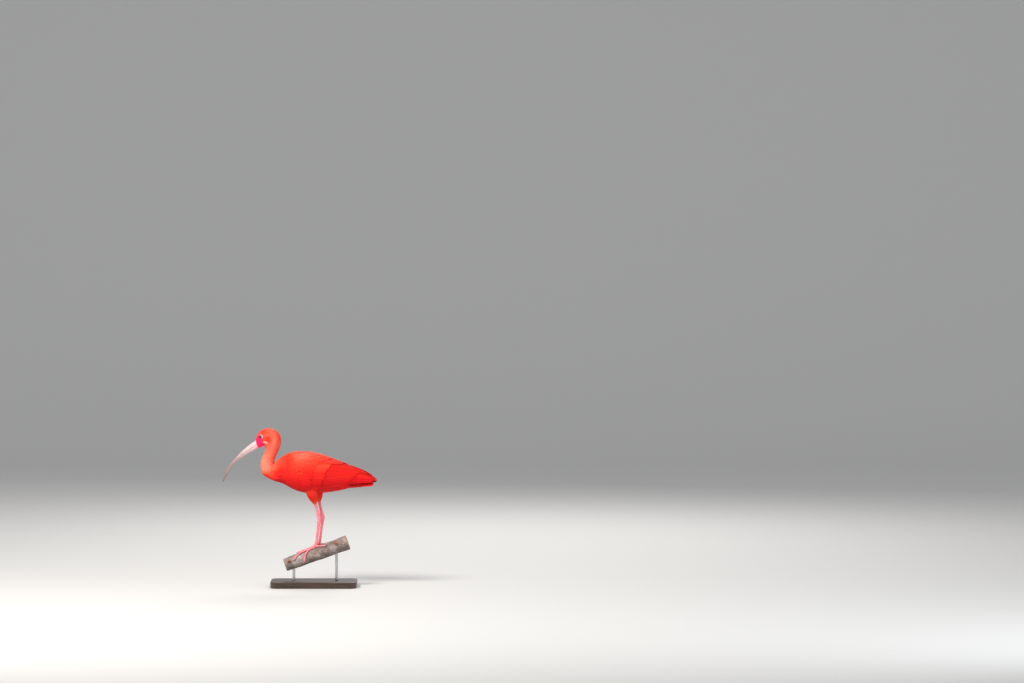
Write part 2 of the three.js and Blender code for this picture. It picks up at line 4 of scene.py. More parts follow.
import bpy
import numpy as np
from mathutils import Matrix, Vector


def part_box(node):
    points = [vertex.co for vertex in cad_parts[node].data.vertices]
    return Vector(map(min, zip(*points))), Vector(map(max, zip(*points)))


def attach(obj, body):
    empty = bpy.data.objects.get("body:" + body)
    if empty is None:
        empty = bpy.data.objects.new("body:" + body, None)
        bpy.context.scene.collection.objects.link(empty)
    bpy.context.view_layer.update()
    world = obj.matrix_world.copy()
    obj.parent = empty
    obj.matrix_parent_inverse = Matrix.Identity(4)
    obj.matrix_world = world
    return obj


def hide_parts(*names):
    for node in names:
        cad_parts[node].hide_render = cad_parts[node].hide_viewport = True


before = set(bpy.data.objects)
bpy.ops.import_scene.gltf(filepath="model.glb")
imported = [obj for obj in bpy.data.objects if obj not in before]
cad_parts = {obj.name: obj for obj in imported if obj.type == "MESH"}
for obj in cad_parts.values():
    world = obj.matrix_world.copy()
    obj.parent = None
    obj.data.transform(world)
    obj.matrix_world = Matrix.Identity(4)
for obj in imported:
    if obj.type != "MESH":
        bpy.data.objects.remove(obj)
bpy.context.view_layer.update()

MM = 0.001
TURN = 2 * math.pi
rng = np.random.default_rng(20)

# Sizes in millimetres, the same as the solids have
EYE = {"x": -154.0, "z": 436.3, "y": 11.0, "radius": 5.2}
PERCH = {"radius": 20.0, "slope": math.radians(20), "front": -98.0, "back": 96.0}
FEET = {"x": 8.7, "top": 117.5}
ROD_AT = {"stand_rod_front": -58.0, "stand_rod_back": 66.0}
BODY_POWER = 2.4

# Back x and z, throat or belly x and z, half width
HEAD_NECK = [
    [-168.3, 427.2, -161.6, 403.8, 9.4],
    [-164.4, 439.2, -154.9, 404.4, 12.8],
    [-156.4, 450.2, -147.9, 406.8, 15.2],
    [-144.6, 457.8, -142.7, 407.2, 17.2],
    [-129.6, 460.4, -139.2, 405.4, 18.7],
    [-110.9, 454.4, -138.3, 402.5, 19.3],
    [-98.7, 441.2, -138.9, 399.0, 19.3],
    [-95.0, 423.4, -140.4, 394.4, 18.7],
    [-98.0, 405.1, -143.0, 388.0, 17.6],
    [-105.6, 388.0, -147.3, 379.9, 17],
    [-111.9, 373.1, -151.7, 369.5, 17.5],
    [-114.3, 358.4, -154.0, 356.1, 19],
    [-107.3, 345.6, -153.4, 340.9, 22],
    [-95.7, 336.4, -147.4, 326.0, 26],
    [-87.0, 327.0, -134.0, 317.2, 30],
]
TORSO = [
    [-136, 341, -136, 337, 3],
    [-131, 349, -131, 320, 17],
    [-116, 358.5, -114, 308, 28],
    [-90, 379, -89, 300, 38],
    [-58, 390.5, -58, 283.5, 45],
    [-26, 390, -26, 274, 47.5],
    [11.6, 380, 11.6, 272.4, 47],
    [46.4, 365, 46.4, 276, 41],
    [81, 347.5, 81, 281.5, 31],
    [104, 338.5, 104, 288.5, 24],
    [122, 328, 122, 297, 16],
]
# The folded wings' outline over the body: x, top, low, half width
WING_HULL = [
    [-98, 372.5, 300, 38],
    [-84, 383, 294, 45],
    [-58, 392.6, 282, 54.5],
    [-26, 393.6, 273, 58.5],
    [11.6, 388, 272, 58.5],
    [46.4, 376.4, 276, 53],
    [81, 363, 281.5, 43.5],
    [116, 350.4, 286, 33],
    [151, 335.6, 287, 23.5],
    [183, 316, 292, 13],
]
# x, the wing's upper edge in degrees from the top, its lower edge's height
WING_EDGES = [
    [-98, 60, 318],
    [-84, 46, 304],
    [-58, 37, 294],
    [-26, 27, 287],
    [11.6, 14, 285],
    [46.4, 5, 290],
    [81, 1.2, 296],
    [116, 0.8, 301],
    [151, 0.8, 302],
    [183, 2, 303],
]
TAIL_HULL = [[96, 318, 286, 20], [115, 314, 287.5, 18.5], [136, 305.5, 290.5, 16]]
# Culmen x and z, mouth line x and z, lower edge x and z, half width
BILL = [
    [-165.4, 427.0, -162.0, 415.6, -158.9, 404.6, 9.2],
    [-192.4, 407.8, -187.4, 399.0, -184.0, 390.6, 7.4],
    [-213.7, 388.9, -208.8, 382.8, -205.1, 377.4, 6.0],
    [-232.5, 368.6, -228.6, 365.2, -224.6, 361.8, 4.9],
    [-247.2, 348.4, -243.8, 346.2, -239.8, 343.4, 4.1],
    [-257.9, 327.5, -255.0, 326.0, -251.6, 324.4, 3.3],
    [-264.4, 306.4, -262.6, 305.6, -261.2, 305.8, 1.5],
]
LEGS = {
    "left": {
        "side": -1,
        "hip": [-6, -25, 298],
        "belly": [-5, -22, 276],
        "bare": [4.4, -16, 243.6],
        "ankle": [16.2, -11, 198.4],
        "foot": [6.7, -8.5, 124],
    },
    "right": {
        "side": 1,
        "hip": [9, 25, 298],
        "belly": [9.5, 22, 276],
        "bare": [14.6, 16, 246],
        "ankle": [25.6, 11, 199.6],
        "foot": [16.2, 8.5, 127.5],
    },
}
THIGH = [18, 17.5, 14, 5.4]
SHANK = [4.8, 4.3, 4.1, 4.4, 5.8, 5.8]
TARSUS = [5.8, 5.0, 4.2, 3.9, 3.9, 4.1, 4.7]
INSTEP = [4.7, 4.9, 4.2]
TOE_RADIUS = 3.6
TOE_LIFT = 0.4
FOOT_ANGLE = 23
FOOT_AT = {"left": -2.4, "right": 7.8}
TOES = [
    {"name": "hind", "start": 5, "run": 26, "turn": [0, 26], "bend": 1, "size": 0.86},
    {"name": "inner", "start": -2, "run": -44, "turn": [0, -13], "bend": 1, "size": 0.9},
    {"name": "middle", "start": -3, "run": -59, "turn": [0, 42], "bend": 3.2, "size": 1},
    {"name": "outer", "start": -2, "run": -36, "turn": [4, 86], "bend": 2.5, "size": 0.9},
]


# Numbers and surfaces
def lerp(a, b, t):
    return a + (b - a) * t


def smooth(a, b, x):
    t = np.clip((np.asarray(x, float) - a) / (b - a), 0, 1)
    return t * t * (3 - 2 * t)


def bell(*widths):
    """A soft bump, 1 in its middle, read at distances counted in its widths."""
    return np.exp(-sum(n**2 for n in widths))


def vec(*parts):
    """Numbers or arrays side by side along a new last axis."""
    return np.stack(np.broadcast_arrays(*parts), -1)


def unit(v):
    return v / np.maximum(np.linalg.norm(v, axis=-1, keepdims=True), 1e-9)


def waves(p, scale, seed):
    """A soft, even noise from -1 to 1 made of sums of sines."""
    draw = np.random.default_rng(seed)
    total = np.zeros(p.shape[:-1])
    for n in range(6):
        way = unit(draw.normal(size=3)) * scale * (0.6 + 0.25 * n)
        total += np.sin(p @ way + draw.uniform(0, 6.3))
    return total / 6 * 1.6


def rows_at(rows, t):
    """A smooth curve through rows of numbers, read at shares t of the way along the rows."""
    rows = np.asarray(rows, float)
    last = len(rows) - 1
    at = np.clip(np.asarray(t, float), 0, 1) * last
    i = np.minimum(last - 1, np.floor(at).astype(int))
    f = (at - i)[..., None]
    a, b = rows[i], rows[i + 1]
    m0 = (b - rows[np.maximum(0, i - 1)]) / 2
    m1 = (rows[np.minimum(last, i + 2)] - a) / 2
    first = a * (1 + 2 * f) * (1 - f) ** 2 + m0 * f * (1 - f) ** 2
    return first + b * f * f * (3 - 2 * f) + m1 * f * f * (f - 1)


def rows_by(rows, x):
    """The same rows read by their first number."""
    table = rows_at(rows, np.linspace(0, 1, 1201))
    return [np.interp(x, table[:, 0], column) for column in table.T[1:]]


def rounded(c, power):
    return np.sign(c) * np.abs(c) ** (2 / power)


def body_at(rows, t, a, grow=0.0, power=2.0):
    """A point on a body form: a is the angle from the back, rising towards +Y."""
    r = rows_at(rows, t)
    up = vec(r[..., 0] - r[..., 2], 0 * r[..., 0], r[..., 1] - r[..., 3]) / 2
    centre = vec(r[..., 0] + r[..., 2], 0 * r[..., 0], r[..., 1] + r[..., 3]) / 2
    length = np.linalg.norm(up, axis=-1, keepdims=True)
    tall = up * (1 + np.expand_dims(np.broadcast_to(grow, r.shape[:-1]), -1) / length)
    spot = centre + tall * rounded(np.cos(a), power)[..., None]
    spot[..., 1] += (r[..., 4] + grow) * rounded(np.sin(a), power)
    return spot


def head_neck(t, a):
    return body_at(HEAD_NECK, t, a)


def torso(t, a):
    return body_at(TORSO, t, a, 0.0, BODY_POWER)


def wing_outline(x, angle):
    """The outline of both folded wings at x, by the angle from the top."""
    top, low, half = rows_by(WING_HULL, x)
    z = (top + low) / 2 + (top - low) / 2 * rounded(np.cos(angle), BODY_POWER)
    return vec(x, half * rounded(np.sin(angle), BODY_POWER), z)


def wing_at(side, x, v, height):
    """A point on a folded wing at x, a share v from its upper to its lower edge, and a height over it."""
    x, v, height = np.broadcast_arrays(*[np.asarray(n, float) for n in (x, v, height)])
    top, low, _ = rows_by(WING_HULL, x)
    upper, edge = rows_by(WING_EDGES, x)
    drop = np.maximum(-0.98, (edge - (top + low) / 2) / ((top - low) / 2))
    lower = np.arccos(rounded(drop, 4 / BODY_POWER))
    angle = lerp(np.radians(upper), lower, v)
    spot = wing_outline(x, angle)
    around = wing_outline(x, angle + 0.03) - wing_outline(x, angle - 0.03)
    normal = unit(np.cross(around, wing_outline(x + 1, angle) - wing_outline(x - 1, angle)))
    out = spot - vec(x, 0 * x, (top + low) / 2)
    normal *= np.where(np.sum(normal * out, -1, keepdims=True) < 0, -1, 1)
    return (spot + normal * height[..., None]) * np.array([1, side, 1])


def under_wing(p):
    """How far points of the torso lie in the folded wings' area, from 0 to 1."""
    x = p[..., 0]
    _, edge = rows_by(WING_EDGES, x)
    return smooth(-106, -86, x) * (1 - smooth(80, 118, x)) * smooth(-3, 9, p[..., 2] - edge)


def cloak(t, a):
    """The torso with the folded wings' outline over it, down to their lower edge."""
    p = torso(t, a)
    return lerp(p, wing_outline(p[..., 0], a), under_wing(p)[..., None])


def tail_root(t, a):
    """The rump between the torso and the tail's quills."""
    return body_at([[x, top, x, low, half] for x, top, low, half in TAIL_HULL], t, a)


def limb_at(points, radii, t, a, grow=0.0):
    """A point on a round limb along points, with radii read along it."""
    t = np.asarray(t, float)
    centre = rows_at(points, t)
    ahead = unit(rows_at(points, np.minimum(1, t + 0.01)) - rows_at(points, np.maximum(0, t - 0.01)))
    across = unit(np.cross(np.array([0.0, 1.0, 0.0]), ahead))
    up = unit(np.cross(ahead, across))
    r = (rows_at([[n] for n in radii], t)[..., 0] + grow)[..., None]
    return centre + r * (across * np.sin(a)[..., None] + up * np.cos(a)[..., None])


def thigh_at(leg, t, a, grow=0.0):
    return limb_at([leg["hip"], leg["belly"], leg["bare"]], THIGH, t, a, grow)


# The branch's own directions, and a spot on its line under the feet
ALONG = np.array([math.cos(PERCH["slope"]), 0, math.sin(PERCH["slope"])])
OVER = np.array([-math.sin(PERCH["slope"]), 0, math.cos(PERCH["slope"])])
HEART = np.array([FEET["x"], 0, FEET["top"] - PERCH["radius"] / math.cos(PERCH["slope"])])


def branch_radius(a):
    return PERCH["radius"] + 0.011 * a + 0.5 * np.sin(a * 0.085)


def branch_at(a, angle, height):
    """A spot a along the branch, at an angle from its top towards the left, and a height over the bark."""
    a, angle, height = np.broadcast_arrays(*[np.asarray(n, float) for n in (a, angle, height)])
    r = (branch_radius(a) + height)[..., None]
    left = np.array([0.0, -1.0, 0.0])
    way = OVER * np.cos(angle)[..., None] + left * np.sin(angle)[..., None]
    return HEART + a[..., None] * ALONG + r * way


def toe_radius(toe, share):
    return TOE_RADIUS * toe["size"] * (1 - 0.32 * share + 0.09 * np.cos(share * math.pi * 6.2))


def toe_path(name, toe, share, lift):
    share = np.asarray(share, float)
    turn = FOOT_ANGLE + lerp(*toe["turn"], share ** toe["bend"])
    along = FOOT_AT[name] + toe["start"] + toe["run"] * share
    return branch_at(along, np.radians(-LEGS[name]["side"] * turn), lift)


# Meshes
def add_object(name, data):
    obj = bpy.data.objects.new(name, data)
    bpy.context.scene.collection.objects.link(obj)
    return obj


def read(mesh, key):
    values = np.zeros(len(mesh.vertices) * 3, np.float32)
    mesh.vertices.foreach_get(key, values)
    return values.reshape(-1, 3)


def points_of(obj):
    return read(obj.data, "co").astype(float) / MM


def normals_of(obj):
    return read(obj.data, "normal").astype(float)


def move_points(obj, points):
    obj.data.vertices.foreach_set("co", (points * MM).astype(np.float32).ravel())
    obj.data.update()


def set_value(mesh, key, value):
    layer = mesh.attributes.new(key, "FLOAT", "POINT")
    layer.data.foreach_set("value", np.asarray(value, np.float32))


# How much of a vane's own shading stays: the rest leans to the surface under it
LEAN = 0.38


def make_mesh(name, verts, faces, maps, values, ups=None):
    """An object from arrays: verts in millimetres, faces of 3 or 4 corners, maps and values by vertex.

    Where ups are given, the shading leans that way, so that a vane's rim doesn't look rounded.
    """
    mesh = bpy.data.meshes.new(name)
    faces = np.asarray(faces, np.int32)
    if ups is not None:
        p = verts[faces[0]]
        inward = np.dot(np.cross(p[1] - p[0], p[2] - p[1]), ups[faces[0][0]]) < 0
        faces = faces[:, ::-1] if inward else faces
    count, corners = faces.shape
    mesh.vertices.add(len(verts))
    mesh.vertices.foreach_set("co", (np.asarray(verts, float) * MM).astype(np.float32).ravel())
    mesh.loops.add(count * corners)
    mesh.loops.foreach_set("vertex_index", faces.ravel())
    mesh.polygons.add(count)
    mesh.polygons.foreach_set("loop_start", np.arange(0, count * corners, corners, dtype=np.int32))
    mesh.polygons.foreach_set("use_smooth", np.full(count, True))
    mesh.update(calc_edges=True)
    for key, uv in maps.items():
        layer = mesh.uv_layers.new(name=key)
        layer.data.foreach_set("uv", np.asarray(uv, np.float32)[faces.ravel()].ravel())
    for key, value in values.items():
        set_value(mesh, key, value)
    mesh.validate()
    if ups is not None:
        mesh.normals_split_custom_set_from_vertices(unit(LEAN * read(mesh, "normal") + (1 - LEAN) * ups))
    return add_object(name, mesh)


def plain_object(name, verts, faces):
    mesh = bpy.data.meshes.new(name)
    mesh.from_pydata((verts * MM).tolist(), [], faces)
    mesh.polygons.foreach_set("use_smooth", np.full(len(faces), True))
    mesh.update()
    return add_object(name, mesh)


def band(n, m, closed=False):
    """Quads between n rings of m points. A closed band's last ring is its first one again."""
    k, j = np.meshgrid(np.arange(n - 1), np.arange(m), indexing="ij")
    j2, k2 = (j + 1) % m, (k + 1) % (n - 1) if closed else k + 1
    return vec(k * m + j, k * m + j2, k2 * m + j2, k2 * m + j).reshape(-1, 4)


def loft_object(name, rings):
    """A closed object from rings of points, with a fan at each end."""
    n, m, _ = rings.shape
    verts = np.concatenate([rings.reshape(-1, 3), rings[0].mean(0)[None], rings[-1].mean(0)[None]])
    e = np.arange(m)
    e2 = (e + 1) % m
    fans = np.concatenate([vec(e2, e, n * m), vec((n - 1) * m + e, (n - 1) * m + e2, n * m + 1)])
    return plain_object(name, verts, band(n, m).tolist() + fans.tolist())


def grid(n, m, ends=(0, 1)):
    return np.meshgrid(np.linspace(*ends, n), np.linspace(0, TURN, m, endpoint=False), indexing="ij")


def sheet(rows, cols):
    """Quads of a grid of points."""
    k, j = np.meshgrid(np.arange(rows - 1), np.arange(cols - 1), indexing="ij")
    a = (k * cols + j).ravel()
    return vec(a, a + 1, a + cols + 1, a + cols)


def copies(faces, count, points):
    """The same faces for count pieces of so many points each."""
    return (np.asarray(faces)[None] + (np.arange(count) * points)[:, None, None]).reshape(-1, len(faces[0]))


def joined(name, objects):
    for o in bpy.context.selected_objects:
        o.select_set(False)
    for o in objects:
        o.select_set(True)
    bpy.context.view_layer.objects.active = objects[0]
    if len(objects) > 1:
        bpy.ops.object.join()
    objects[0].name = name
    objects[0].data.name = name
    return objects[0]


def remeshed(name, parts, voxel, rounds):
    """One even closed skin over all the parts."""
    obj = joined(name, parts)
    made = obj.modifiers.new("remesh", "REMESH")
    made.mode = "VOXEL"
    made.voxel_size = voxel * MM
    made.use_smooth_shade = True
    ease = obj.modifiers.new("ease", "SMOOTH")
    ease.factor = 0.5
    ease.iterations = rounds
    graph = bpy.context.evaluated_depsgraph_get()
    mesh = bpy.data.meshes.new_from_object(obj.evaluated_get(graph))
    obj.modifiers.clear()
    obj.data = mesh
    mesh.polygons.foreach_set("use_smooth", np.full(len(mesh.polygons), True))
    return obj


# Vanes of the coat: shares along their length, and their width there
SHAPE = {"u": np.array([0, 0.34, 0.6, 0.78, 0.91, 1.0]), "w": np.array([0.5, 0.94, 1.0, 0.86, 0.56, 0.14])}
SHORT = {"u": np.array([0, 0.4, 0.7, 0.88, 1.0]), "w": np.array([0.5, 1.0, 0.92, 0.6, 0.14])}
CAMBER = 0.14
THICK = 0.2
# A vane's size on the skin's own map
PATCH = 0.003


def coat(name, root, mid, tip, normals, half, lifts, place, region, shape=SHAPE, pale=None, lean=True):
    """Small vanes on a surface, three-sided. Each has three points on the surface, with heights over it."""
    count = len(root)
    u, w = shape["u"], shape["w"]
    steps = len(u)
    line = [p + normals[k] * lifts[:, k : k + 1] for k, p in enumerate([root, mid, tip])]
    weights = np.stack([(1 - u) * (1 - 2 * u), 4 * u * (1 - u), u * (2 * u - 1)])
    spine = np.einsum("kp,kni->npi", weights, np.stack(line))
    ahead = unit(line[2] - line[0])
    up = unit(normals[1] - ahead * np.sum(normals[1] * ahead, -1, keepdims=True))
    side = np.cross(ahead, up)
    twist = rng.normal(0, 0.07, (count, 1))
    side, up = side + up * twist, up - side * twist
    width = half[:, None] * w * (1 + rng.normal(0, 0.05, (count, steps)))
    width[:, 0] = half * w[0]
    length = np.linalg.norm(line[2] - line[0], axis=-1)
    across = np.array([-1.0, 0.0, 1.0])
    rise = -CAMBER * np.abs(across) * width[..., None] + THICK * (across == 0) * (1 - 0.4 * u)[:, None]
    reach = across * width[..., None]
    verts = spine[:, :, None] + side[:, None, None] * reach[..., None] + up[:, None, None] * rise[..., None]
    tris = []
    for k in range(steps - 1):
        for j in range(3):
            a, b = k * 3 + j, k * 3 + (j + 1) % 3
            tris += [[b, b + 3, a + 3], [a, b, a + 3]]
    end = (steps - 1) * 3
    tris.append([end, end + 1, end + 2])
    bake = np.clip(place[:, None, None] + PATCH * vec(across * 0.5, u[None, :, None] - 0.5), 0, 1)
    real = vec(reach, u[:, None] * length[:, None, None])
    spread = lambda x: np.broadcast_to(x, (count, steps, 3)).ravel()
    values = {"tone": spread(rng.uniform(0, 1, count)[:, None, None]), "along": spread(u[:, None])}
    values["region"] = spread(np.asarray(region, float)[:, None, None])
    if pale is not None:
        values["pale"] = spread(pale[:, None, None])
    ups = np.stack([normals[0] * (1 - s) + normals[2] * s for s in u], 1)
    ups = np.broadcast_to(ups[:, :, None], (count, steps, 3, 3)).reshape(-1, 3)
    maps = {"OFBake": bake.reshape(-1, 2), "Vane": real.reshape(-1, 2) / 10}
    faces = copies(tris, count, steps * 3)
    return make_mesh(name, verts.reshape(-1, 3), faces, maps, values, unit(ups) if lean else None)


def lengths(points):
    """The way gone along points, from 0."""
    return np.concatenate([[0], np.cumsum(np.linalg.norm(np.diff(points, axis=0), axis=1))])


def tract(surface, ends, size, row, gap, seed):
    """Roots spread evenly over a surface: shares t and angles a, in staggered rows.

    row and gap count the way between rows, and between roots in a row, in the vanes' size.
    """
    draw = np.random.default_rng(seed)
    t = np.linspace(*ends, 400)
    sides = [surface(t, np.full(400, angle)) for angle in (0.0, math.pi)]
    runs = [np.linalg.norm(np.diff(line, axis=0), axis=1) for line in sides]
    step = np.concatenate([[0], np.cumsum(np.maximum(*runs))])
    around = np.linspace(-math.pi, math.pi, 200)
    ts, angles = [], []
    s = 0.0
    while s < step[-1]:
        here = np.interp(s, step, t)
        stride, space = row * size(here), gap * size(here)
        girth = lengths(surface(np.full(200, here), around))
        count = max(4, int(girth[-1] / space))
        marks = (np.arange(count) + 0.5 * (len(ts) % 2) + 0.25) / count * girth[-1]
        marks = np.clip(marks + draw.normal(0, 0.12 * space, count), 0, girth[-1])
        angles.append(np.interp(marks, girth, around))
        shift = draw.normal(0, 0.12, count) * stride / step[-1] * (ends[1] - ends[0])
        ts.append(np.full(count, here) + shift)
        s += stride
    return np.clip(np.concatenate(ts), *ends), np.concatenate(angles)


def normal_on(surface, t, a):
    e = 0.002
    along = surface(np.minimum(1, t + e), a) - surface(np.maximum(0, t - e), a)
    around = surface(t, a + e) - surface(t, a - e)
    n = unit(np.cross(around, along))
    out = surface(t, a) - (surface(t, np.zeros_like(a)) + surface(t, np.full_like(a, math.pi))) / 2
    return n * np.where(np.sum(n * out, -1, keepdims=True) < 0, -1, 1)


def surface_coat(name, surface, t, a, length, half, lifts, place, region, **extra):
    """Coat vanes that lie along a surface's own length, and run straight on past its end."""
    e = 0.004
    low, high = np.maximum(0, t - e), np.minimum(1, t + e)
    speed = np.linalg.norm(surface(high, a) - surface(low, a), axis=-1)
    speed = np.maximum(speed / (high - low), 20)
    sway = rng.normal(0, 0.04, len(t))
    stations = [t, np.minimum(1, t + length / speed / 2), np.minimum(1, t + length / speed)]
    angles = [a, a + sway / 2, a + sway]
    spots = [surface(s, g) for s, g in zip(stations, angles)]
    normals = [normal_on(surface, s, g) for s, g in zip(stations, angles)]
    over = length / speed > 1 - t
    if over.any():
        ahead = unit(spots[1] - surface(np.maximum(0, stations[1] - 0.02), angles[1]))
        spots[2][over] = (spots[0] + (spots[1] - spots[0]) * 2)[over]
        short = over & (np.linalg.norm(spots[2] - spots[0], axis=-1) < 0.8 * length)
        spots[1][short] = (spots[0] + ahead * (length / 2)[:, None])[short]
        spots[2][short] = (spots[0] + ahead * length[:, None])[short]
        normals[2][over] = normals[0][over]
        normals[1][over] = normals[0][over]
    return coat(name, *spots, normals, half, lifts, place, region, **extra)


def varied(value, count, spread=0.1):
    return value * (1 + rng.normal(0, spread, count))


def rising(low, high, size, jitter):
    """Heights of a tract's roots, middles and tips over its surface."""
    lifts = vec(low + 0 * size, lerp(low, high, 0.72), high)
    lifts[:, 2] += rng.normal(0, jitter, len(size))
    return lifts


def place_on(t, a, corner, size):
    """Places on a tract's part of the skin's map."""
    share = np.mod(a + math.pi, TURN) / TURN
    return vec(corner[0] + size[0] * np.clip(t, 0, 1), corner[1] + size[1] * share)


# Materials
class Nodes:
    """A material's node tree, with a short way to add and link nodes."""

    def __init__(self, name, roughness=0.5, metallic=0.0, **sockets):
        self.material = bpy.data.materials.new(name)
        self.material.use_nodes = True
        self.tree = self.material.node_tree
        self.shader = next(n for n in self.tree.nodes if n.type == "BSDF_PRINCIPLED")
        for key, value in {"Roughness": roughness, "Metallic": metallic, **sockets}.items():
            self.shader.inputs[key.replace("_", " ")].default_value = value

    def add(self, kind, inputs=None, **settings):
        node = self.tree.nodes.new(kind)
        for key, value in settings.items():
            setattr(node, key, value)
        for key, value in (inputs or {}).items():
            if isinstance(value, bpy.types.NodeSocket):
                self.tree.links.new(value, node.inputs[key])
            else:
                node.inputs[key].default_value = value
        return node

    def value(self, name):
        return self.add("ShaderNodeAttribute", attribute_name=name).outputs["Fac"]

    def place(self):
        return self.add("ShaderNodeTexCoord").outputs["Object"]

    def noise(self, scale, detail=3.0, at=None, **more):
        inputs = {"Scale": scale, "Detail": detail, "Vector": at or self.place(), **more}
        return self.add("ShaderNodeTexNoise", inputs).outputs["Fac"]

    def ramp(self, fac, stops):
        """Colours by a number. A stop's colour may be one number, for a grey."""
        node = self.add("ShaderNodeValToRGB", {"Fac": fac})
        ramp = node.color_ramp
        while len(ramp.elements) < len(stops):
            ramp.elements.new(0.5)
        for element, (place, colour) in zip(ramp.elements, stops):
            element.position = place
            element.color = (*np.broadcast_to(colour, 3).tolist(), 1)
        return node.outputs["Color"]

    def math(self, how, a, b=0.0, c=0.0):
        return self.add("ShaderNodeMath", {0: a, 1: b, 2: c}, operation=how).outputs[0]

    def mix(self, fac, a, b, how="MIX"):
        a, b = ((*colour, 1) if isinstance(colour, tuple) else colour for colour in (a, b))
        return self.add("ShaderNodeMix", {0: fac, 6: a, 7: b}, data_type="RGBA", blend_type=how).outputs[2]

    def tinted(self, colour, fac, stops):
        return self.mix(1.0, colour, self.ramp(fac, stops), "MULTIPLY")

    def colour(self, socket):
        self.tree.links.new(socket, self.shader.inputs["Base Color"])

    def bump(self, height, strength, distance, after=None):
        inputs = {"Height": height, "Strength": strength, "Distance": distance}
        if after is not None:
            inputs["Normal"] = after
        normal = self.add("ShaderNodeBump", inputs).outputs["Normal"]
        self.tree.links.new(normal, self.shader.inputs["Normal"])
        return normal


def wear(obj, material, slot, *nodes):
    """Gives a piece its material, and hides the solids that it stands for."""
    obj.data.materials.append(material)
    if nodes:
        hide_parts(*nodes)
    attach(obj, "root")


# The coat's tones from peach to scarlet: besides the plumage's own colour, PEACH and SALMON carry painted
# highlights on the neck and mantle, and SCARLET carries painted shade on the underside
PEACH = (1.0, 0.33, 0.21)
SALMON = (1.0, 0.185, 0.11)
ORANGE_RED = (1.0, 0.070, 0.030)
RED = (1.0, 0.022, 0.012)
SCARLET = (0.92, 0.005, 0.010)
BLACK_RED = (0.045, 0.006, 0.008)
EAR = {"x": -137.0, "z": 429.0}
GAPE = {"x": -142.0, "z": 420.6}
# Ear, crown, nape and throat: how much redder, x and z of the middle, half length and half height. The paler
# nape and throat patches are painted highlights.
NECK_PATCHES = [
    (0.34, EAR["x"], EAR["z"], 9, 8),
    (0.2, -150, 450, 12, 7),
    (-0.26, -114, 428, 9, 20),
    (-0.24, -145, 364, 15, 24),
]


def region_at(p, spread=0.035):
    """The coat's colour at points, from 0 for peach to 1 for scarlet, paler on the neck and mantle. This is
    partly the plumage's own tones and partly painted light: painted highlights make the neck, mantle and
    shoulder paler, and painted shade makes the underside a deeper scarlet.
    """
    x, z = p[..., 0], p[..., 2]
    # Deeper scarlet lower down is painted shade on the underside; redder towards the rear as well
    body = 0.76 + 0.24 * smooth(335, 290, z) + 0.12 * smooth(40, 120, x)
    # Paler over the mantle, and on the next line over the shoulder: painted highlights
    body = body - 0.3 * smooth(335, 385, z) * (1 - smooth(-30, 70, x))
    body = body - 0.12 * smooth(318, 350, z) * smooth(-95, -60, x) * (1 - smooth(20, 90, x))
    body = body + 0.14 * waves(p, 0.09, 61)
    # The neck's peach is partly its own tone and partly a painted highlight
    neck = 0.26 + 0.09 * smooth(405, 425, z) + 0.05 * waves(p, 0.2, 62)
    for amount, x0, z0, long, tall in NECK_PATCHES:
        neck = neck + amount * bell((x - x0) / long, (z - z0) / tall)
    neck = neck + 0.5 * smooth(350, 316, z)
    mixed = lerp(body, neck, smooth(-98, -128, x + 0.3 * (350 - np.minimum(z, 350))))
    return np.clip(mixed + rng.normal(0, spread, x.shape), 0, 1)


def feather_material(name, barb=1.0, scale=95.0):
    sheen = {"Sheen_Weight": 0.10, "Sheen_Roughness": 0.5, "Sheen_Tint": (1.0, 0.30, 0.20, 1)}
    m = Nodes(name, 0.66, Specular_IOR_Level=0.16, **sheen)
    stops = [(0.0, PEACH), (0.25, SALMON), (0.5, ORANGE_RED), (0.75, RED), (1.0, SCARLET)]
    colour = m.ramp(m.value("region"), stops)
    tones = [(0.0, (0.88, 0.78, 0.78)), (0.5, (0.97, 0.95, 0.95)), (1.0, (1.0, 1.1, 1.1))]
    colour = m.tinted(colour, m.value("tone"), tones)
    # Darker towards each vane's root: painted shade where the vanes overlap one another
    colour = m.tinted(colour, m.value("along"), [(0.0, (0.7, 0.5, 0.5)), (0.6, (0.95, 0.9, 0.9)), (1.0, 1.0)])
    uv = m.add("ShaderNodeSeparateXYZ", {0: m.add("ShaderNodeUVMap", uv_map="Vane").outputs["UV"]})
    across = m.math("ABSOLUTE", uv.outputs["X"])
    slant = m.math("MULTIPLY", m.math("SUBTRACT", uv.outputs["Y"], across), scale)
    barbs = m.math("SINE", slant)
    lined = m.tinted(colour, m.math("MULTIPLY_ADD", barbs, 0.5, 0.5), [(0.0, (0.84, 0.74, 0.74)), (0.6, 1.0)])
    colour = m.mix(0.6 * barb, colour, lined)
    shaft = m.math("LESS_THAN", across, 0.022)
    colour = m.mix(m.math("MULTIPLY", shaft, 0.3 * barb), colour, (0.34, 0.012, 0.01))
    colour = m.mix(m.value("pale"), colour, (1.0, 0.60, 0.56))
    m.colour(m.mix(m.value("dark"), colour, BLACK_RED))
    m.bump(barbs, 0.5 * barb, 0.00025)
    return m.material


# The skin, how far it lies inside the coat's outline, and where the face's folds are
SKIN_DEPTH = 2.6
MOUTH = {"x": -160.0, "z": 417.2}
LORES = {"x": -161.5, "z": 429.0}
BROW = {"x": -153.0, "z": 444.5}


